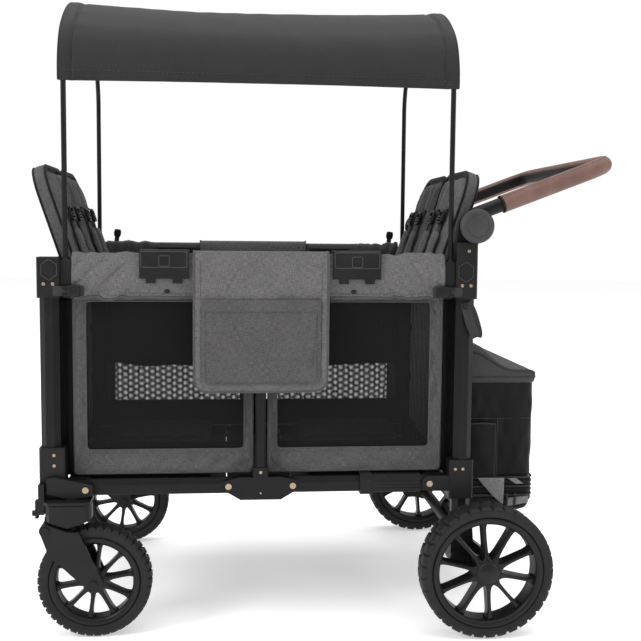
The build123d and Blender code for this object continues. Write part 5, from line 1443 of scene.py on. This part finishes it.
def storage_bag():
    """The bag: outlines stacked up its height, drawn in at its zip bands and slack between
    them, closed below, with a thickness of cloth."""
    z = np.concatenate([np.linspace(bag_low[2] + 0.001, bag_low[2] + BAND_TOP - 0.002, 28),
                        np.linspace(bag_low[2] + BAND_TOP + 0.001, bag_high[2] - 0.001, 60)])
    up = z - bag_low[2]
    tuck = -0.018 * np.exp(-up / 0.010)
    bands = 0.0030 * np.sin(up / BAND_TOP * 4 * pi) ** 2 * (up < BAND_TOP) - 0.003 * np.exp(
        -((up - BAND_TOP) / 0.004) ** 2)
    rings = np.stack([bag_ring(h, g - 0.002) for h, g in zip(z, tuck + bands)])
    n = rings.shape[1]
    around = np.arange(n)[None] / n
    slack = np.clip((up[:, None] - BAND_TOP) / 0.04, 0, 1) * np.clip((bag_high[2] - z[:, None]) / 0.05, 0, 1)
    fold = slack * (0.0024 * crumple(around * 1.4, z[:, None], 170, 0.13)
                    + 0.0013 * crumple(around * 1.4, z[:, None], 171, 0.04))
    away = rings[..., :2] - np.array([(bag_low[0] + bag_high[0]) / 2, 0])
    away /= np.linalg.norm(away, axis=-1, keepdims=True)
    free = np.clip((rings[..., 0] - bag_low[0]) / 0.02, 0, 1)
    rings[..., :2] += away * (fold * free)[..., None]
    foot_ring = rings[0] * (1, 1, 0) + (0, 0, bag_low[2] + 0.0005)
    middle = np.array([(bag_low[0] + bag_high[0]) / 2, 0, bag_low[2] + 0.0005])
    base = np.stack([middle + (foot_ring - middle) * k for k in (0.0, 0.3, 0.6, 0.9, 0.97)])
    body = Shape().grid(np.concatenate([base, rings]), around=True)
    body.make("bag_body", bag_cloth, "rear_frame", "bag_fabric", thickness=0.0026,
              replaces=["storage_bag"])
    piping = Shape()
    for height, grow, size in ((BAND_TOP, 0.0005, 0.0024), (BAND_TOP * 0.5, 0.0008, 0.0026),
                               (BAND_TOP * 0.75, 0.0008, 0.0022)):
        ring = bag_ring(bag_low[2] + height, grow)
        front = ring[ring[:, 0] > bag_low[0] + 0.004]
        start = np.argmax(np.linalg.norm(np.diff(front, axis=0), axis=1)) + 1
        front = np.roll(front, -start, axis=0)
        piping.grid(carry(evenly(front, 160), oval(size, size, 8), side=(0, 0, 1)), around=True)
    piping.make("bag_piping", strap_web, "rear_frame", "bag_fabric")
    for word, side in SIDES.items():
        bag_side(word, side)


def bag_side(word, side):
    """On each end of the bag: a bellied pocket with a bound mouth, a pale triangle of melange
    below it, and the zip with its pullers."""
    y0 = bag_high[1] - 0.0005
    u = np.linspace(0, 1, 30)[:, None]
    x = bag_low[0] + 0.008 + u * 0.062
    mouth = bag_low[2] + SEAM_TOP - 0.012 + 0.003 * np.sin(u * pi)
    foot = bag_low[2] + BAND_TOP + 0.002
    z = foot + (mouth - foot) * np.linspace(0, 1, 40)[None]
    rise = (z - z[0, 0]) / (z[0, -1] - z[0, 0])
    belly = np.sin(u * pi) ** 0.6 * np.clip(rise / 0.08, 0, 1) ** 0.5
    y = y0 + 0.0008 + belly * (0.007 + 0.0012 * crumple(x, z, 175, 0.05))
    p = mirrored(np.stack(np.broadcast_arrays(x, y, z), -1), 1, side)
    Shape().grid(p).make(f"bag_pocket_{word}", bag_cloth, "rear_frame", "bag_fabric",
                         thickness=0.0013)
    tape = Shape()
    for line in (p[:, -1], p[0], p[-1]):
        tape.grid(carry(line, oval(0.0018, 0.0014, 8)), around=True)
    seam_x = np.linspace(bag_low[0] + 0.012, bag_high[0] - 0.010, 50)
    seam = np.stack([seam_x, np.full(50, side * (y0 + 0.0012)), np.full(50, bag_low[2] + SEAM_TOP)], 1)
    tape.grid(carry(seam, oval(0.0010, 0.0008, 8)), around=True)
    down = evenly(np.array([[bag_low[0] + 0.0735, side * (y0 + 0.0014), bag_low[2] + SEAM_TOP],
                            [bag_low[0] + 0.0735, side * (y0 + 0.0014), foot]]), 30)
    tape.grid(carry(down, oval(0.0010, 0.0008, 8)), around=True)
    tape.make(f"bag_side_tape_{word}", strap_web, "rear_frame", "bag_fabric")
    t = np.linspace(0, 1, 24)
    corner_a = np.array([bag_low[0] + 0.034, bag_low[2] + BAND_TOP + 0.001])
    corner_b = np.array([bag_low[0] + 0.086, bag_low[2] + BAND_TOP])
    corner_c = np.array([bag_low[0] + 0.0885, bag_low[2] + 0.016])
    top = corner_a + (corner_b - corner_a) * t[:, None]
    top[:, 0] += 0.004 * t ** 8
    low = corner_a + (corner_c - corner_a) * t[:, None]
    low[:, 1] -= 0.003 * np.sin(t * pi)
    v = np.linspace(0, 1, 12)[None, :, None]
    flat = top[:, None] * (1 - v) + low[:, None] * v
    q = np.stack([flat[..., 0], np.full(flat.shape[:2], y0 + 0.0046), flat[..., 1]], -1)
    Shape().grid(mirrored(q, 1, side)).make(f"bag_melange_{word}", melange_pale, "rear_frame",
                                            "bag_fabric", thickness=0.001)
    for name, corners in (("stripe", [(0.097, 0.072), (0.114, 0.0725), (0.131, 0.061), (0.115, 0.060)]),
                          ("low_band", [(0.097, 0.031), (0.141, 0.035), (0.141, 0.021), (0.097, 0.014)])):
        a, b, c, d = (np.array(corner) + (bag_low[0], bag_low[2]) for corner in corners)
        t, v = np.linspace(0, 1, 14)[:, None, None], np.linspace(0, 1, 8)[None, :, None]
        flat = (a * (1 - t) + b * t) * (1 - v) + (d * (1 - t) + c * t) * v
        r = np.stack([flat[..., 0], np.full(flat.shape[:2], y0 + 0.0046), flat[..., 1]], -1)
        Shape().grid(mirrored(r, 1, side)).make(f"bag_{name}_{word}", melange_pale, "rear_frame",
                                                "bag_fabric", thickness=0.001)
    zipper(word, side, y0)


def zipper(word, side, y0):
    """A short zip on the bag's end: paired teeth, and two pullers that hang from it."""
    teeth = Shape()
    for k in range(26):
        x = bag_low[0] + 0.084 + 0.0021 * k
        for row in (-1, 1):
            at = np.array([[x, side * (y0 + 0.0022), bag_low[2] + 0.0420 + row * 0.0010],
                           [x, side * (y0 + 0.0040), bag_low[2] + 0.0420 + row * 0.0010]])
            teeth.grid(carry(evenly(at, 3), oval(0.0008, 0.0009, 6), side=(1, 0, 0)), around=True)
    teeth.make(f"bag_zip_teeth_{word}", plastic, "rear_frame", "moulded_plastic")
    pulls = Shape()
    for x in (bag_low[0] + 0.095, bag_low[0] + 0.112):
        line = np.array([[x, side * (y0 + 0.0066), bag_low[2] + 0.0415],
                         [x + 0.001, side * (y0 + 0.0070), bag_low[2] + 0.030],
                         [x, side * (y0 + 0.0066), bag_low[2] + 0.016]])
        pulls.grid(carry(through(line, 10), oval(0.0022, 0.0011, 10, 3.0), side=(0, 1, 0)), around=True)
    pulls.make(f"bag_zip_pulls_{word}", strap_web, "rear_frame", "bag_fabric")


def bag_lid():
    """The lid: cross sections along y, each a run from the back edge over the shoulder and down
    the slope to a rolled front lip, with sides that close it and piping along its edges."""
    x0, x1 = lid_low[0], lid_high[0]
    z0, z1 = lid_low[2], lid_high[2]
    top = through([(x0 + 0.001, z0), (x0 + 0.001, z1 - 0.012), (x0 + 0.006, z1 - 0.002),
                   (x0 + 0.018, z1), (x0 + 0.028, z1 - 0.0005), (x0 + 0.038, z1 - 0.005),
                   (x0 + 0.055, z1 - 0.020), (x0 + 0.076, z1 - 0.038), (x0 + 0.101, z1 - 0.050),
                   (x1 - 0.015, z0 + 0.0155), (x1 - 0.004, z0 + 0.012), (x1 - 0.001, z0 + 0.004),
                   (x1 - 0.001, z0)], 90)
    y = np.linspace(lid_low[1], lid_high[1], 90)
    near_end = np.clip((np.abs(y) - (lid_high[1] - 0.014)) / 0.014, 0, 1)
    drop = 1 - np.sqrt(np.maximum(1 - near_end ** 2, 0))
    share = (top[:, 1] - z0) / (z1 - z0)
    z = z0 + (top[None, :, 1] - z0) * (1 - drop[:, None] * np.clip(share[None] * 1.3, 0, 1) * 0.22)
    slack = np.sin(np.clip((y - y[0]) / (y[-1] - y[0]), 0, 1) * pi)[:, None] * np.sin(
        np.linspace(0, pi, 90))[None]
    slope = np.clip((top[None, :, 0] - x0 - 0.030) / 0.100, 0, 1)
    full = np.sin(slope * pi) * (1 - near_end[:, None])
    z = z + full * slack ** 0.3 * 0.0075 - slack * 0.002 * (1 + crumple(y[:, None], top[None, :, 0],
                                                                    180, 0.07))
    x = np.broadcast_to(top[None, :, 0], z.shape)
    p = np.stack([x, np.broadcast_to(y[:, None], z.shape), z], -1)
    shape = Shape().grid(p)
    for k in (0, -1):
        foot = p[k] * (1, 1, 0) + (0, 0, z0)
        v = np.linspace(0, 1, 10)[:, None, None]
        shape.grid(p[k][None] * (1 - v) + foot[None] * v)
    shape.make("bag_lid_cloth", lid_cloth, "bag_lid", "bag_fabric", thickness=0.002,
               replaces=["storage_bag_lid"])
    piping = Shape()
    for k in (0, -1):
        piping.grid(carry(p[k, 8:-4], oval(0.0026, 0.0026, 10)), around=True)
    rim_line = soft_corners([(x0 + 0.006, y[0] - 0.002), (x1 + 0.001, y[0] - 0.002),
                             (x1 + 0.001, y[-1] + 0.002), (x0 + 0.006, y[-1] + 0.002)], 0.016, 12)
    rim_line = evenly(rim_line, 200)
    drop_z = np.array([0.0035, 0.002, -0.001, -0.0045, -0.008, -0.0105])
    drop_in = np.array([0.0025, 0.0006, 0.0, 0.0, 0.0006, 0.0022])
    inward = 1 - drop_in[None, :, None] / 0.08
    middle = np.array([(x0 + x1) / 2, 0.0])
    skirt_xy = middle + (rim_line[:, None] - middle) * inward
    skirt_z = np.broadcast_to(z0 + drop_z[None], skirt_xy.shape[:2])
    Shape().grid(np.concatenate([skirt_xy, skirt_z[..., None]], -1)).make(
        "bag_lid_rim", lid_cloth, "bag_lid", "bag_fabric", thickness=0.0014)
    low = rectangle(x0 + 0.001, x1 - 0.001, y[0] + 0.001, y[-1] - 0.001, 0.012, 40)
    ring = np.stack([low[:, 0], low[:, 1], np.full(len(low), z0 + 0.0028)], 1)
    ring = np.vstack([ring, ring[:2]])
    piping.grid(carry(ring, oval(0.0028, 0.0022, 10), side=(0, 0, 1), closed_ends=False)[:-1],
                around=True)
    band = ring + np.array([0, 0, 0.0085])
    piping.grid(carry(band, oval(0.0012, 0.0012, 8), side=(0, 0, 1), closed_ends=False)[:-1],
                around=True)
    piping.make("bag_lid_piping", strap_web, "bag_lid", "bag_fabric")


storage_bag()
bag_lid()


# ---- straps and buckles --------------------------------------------------------------------
def corner_strap(end_word, side_word):
    """The short strap that ties a tub corner to its post, with its buckle's two halves."""
    end, side = ENDS[end_word], SIDES[side_word]
    word = f"{end_word}_{side_word}"
    y, z = RAIL_Y + 0.0205, RAIL_Z - 0.044
    line = through([(0.398, y - 0.002, z + 0.001), (0.380, y + 0.001, z), (0.366, y + 0.0005, z),
                    (0.345, y - 0.0006, z), (0.332, y - 0.006, z - 0.001)], 40)
    strap = Shape().grid(mirrored(carry(line, oval(0.0008, 0.0095, 12, 5.0), side=(0, 0, 1)),
                                  end, side), around=True)
    strap.make(f"corner_strap_{word}", strap_web, f"{end_word}_frame", "webbing")
    body = np.linspace(0.338, 0.362, 18)
    size = 0.8 + 0.2 * np.sin((body - 0.338) / 0.024 * pi) ** 0.5
    path = np.stack([body, np.full(18, y + 0.0025), np.full(18, z)], 1)
    buckle = Shape().grid(mirrored(carry(path, oval(0.0045, 0.0115, 20, 3.5), side=(0, 0, 1),
                                         sizes=size), end, side), around=True)
    for k in (-1, 1):
        prong = np.stack([np.linspace(0.362, 0.3715, 8), np.full(8, y + 0.0025),
                          z + k * (0.0085 - np.linspace(0, 0.002, 8))], 1)
        buckle.grid(mirrored(carry(prong, oval(0.0030, 0.0022, 10, 3.0), side=(0, 0, 1)), end, side),
                    around=True)
    buckle.make(f"corner_buckle_{word}", plastic, f"{end_word}_frame", "moulded_plastic")


def bracket_hexagon_highlight(end_word, side_word):
    """The raised hexagon line on the face of an upper corner bracket, drawn in lighter plastic as a painted
    highlight along the emboss's edges.
    """
    end, side = ENDS[end_word], SIDES[side_word]
    face = extent("rear_brackets")[1][1] + 0.0001
    corner = np.arange(6) * pi / 3 + pi / 6
    flat = np.stack([0.3945 + 0.0165 * np.cos(corner), RAIL_Z - 0.0045 + 0.0195 * np.sin(corner)], 1)
    path = np.stack([flat[:, 0], np.full(6, face), flat[:, 1]], 1)
    path = evenly(np.vstack([path, path[:1]]), 61)
    path = mirrored(np.vstack([path, path[1:2]]), end, side)
    ring = Shape().grid(carry(path, oval(0.0009, 0.0009, 8), closed_ends=False)[:-1], around=True)
    ring.make(f"bracket_hexagon_{end_word}_{side_word}", cap_plastic_and_highlight, f"{end_word}_frame",
              "moulded_plastic")


def wrist_loop():
    """A loop of webbing on the near rear post: out of its button, round and back."""
    y = extent("wrist_loop")[0][1] + 0.0022
    top_x, top_z = 0.395, 0.632
    line = through([(top_x, y, top_z + 0.004), (top_x + 0.003, y - 0.002, top_z - 0.015),
                    (top_x + 0.010, y - 0.0035, top_z - 0.038), (top_x + 0.018, y - 0.003, top_z - 0.056),
                    (top_x + 0.022, y + 0.0005, top_z - 0.0625), (top_x + 0.0255, y + 0.0045, top_z - 0.055),
                    (top_x + 0.021, y + 0.006, top_z - 0.036), (top_x + 0.013, y + 0.005, top_z - 0.014),
                    (top_x + 0.003, y + 0.0025, top_z + 0.004)], 90)
    width_way = (0.94, 0, 0.33)
    loop = Shape().grid(carry(line, oval(0.0010, 0.0095, 14, 5.0), side=width_way), around=True)
    loop.make("wrist_loop_webbing", strap_web, "rear_frame", "webbing", replaces=["wrist_loop"])
    button = [(0.0, 0.0035), (0.004, 0.0035), (0.0058, 0.0022), (0.0062, 0.0), (0.0062, -0.006),
              (0.0, -0.006)]
    at = np.array([top_x - 0.001, y - 0.002, top_z - 0.001])
    Shape().grid(spun(button, at, 32, NEAR), along=True).make("wrist_loop_button", plastic,
                                                              "rear_frame", "moulded_plastic")


def rail_clip(end_word, lift):
    """A buckle on a stub of webbing that stands up behind the far top rail."""
    end = ENDS[end_word]
    foot = np.array([0.3300, RAIL_Y + 0.002, RAIL_Z + 0.020])
    up = np.array([0.12 * lift, 0.0, 1.0])
    t = np.linspace(0, 1, 14)[:, None]
    web = foot + up * 0.036 * t
    strap = Shape().grid(mirrored(carry(web, oval(0.0012, 0.0055, 10, 5.0), side=(1, 0, 0)), end, FAR),
                         around=True)
    strap.make(f"rail_clip_strap_{end_word}", strap_web, f"{end_word}_frame", "webbing")
    size = np.sin(np.linspace(0.25, pi - 0.25, 14)) ** 0.25
    block = foot + up * (0.034 + 0.018 * t)
    head = Shape().grid(mirrored(carry(block, oval(0.0050, 0.0085, 20, 4.0), side=(1, 0, 0),
                                       sizes=size), end, FAR), around=True)
    head.make(f"rail_clip_{end_word}", plastic, f"{end_word}_frame", "moulded_plastic")


for end_word in ENDS:
    rail_clip(end_word, 1 if end_word == "rear" else -1)
    for side_word in SIDES:
        corner_strap(end_word, side_word)
        bracket_hexagon_highlight(end_word, side_word)
wrist_loop()
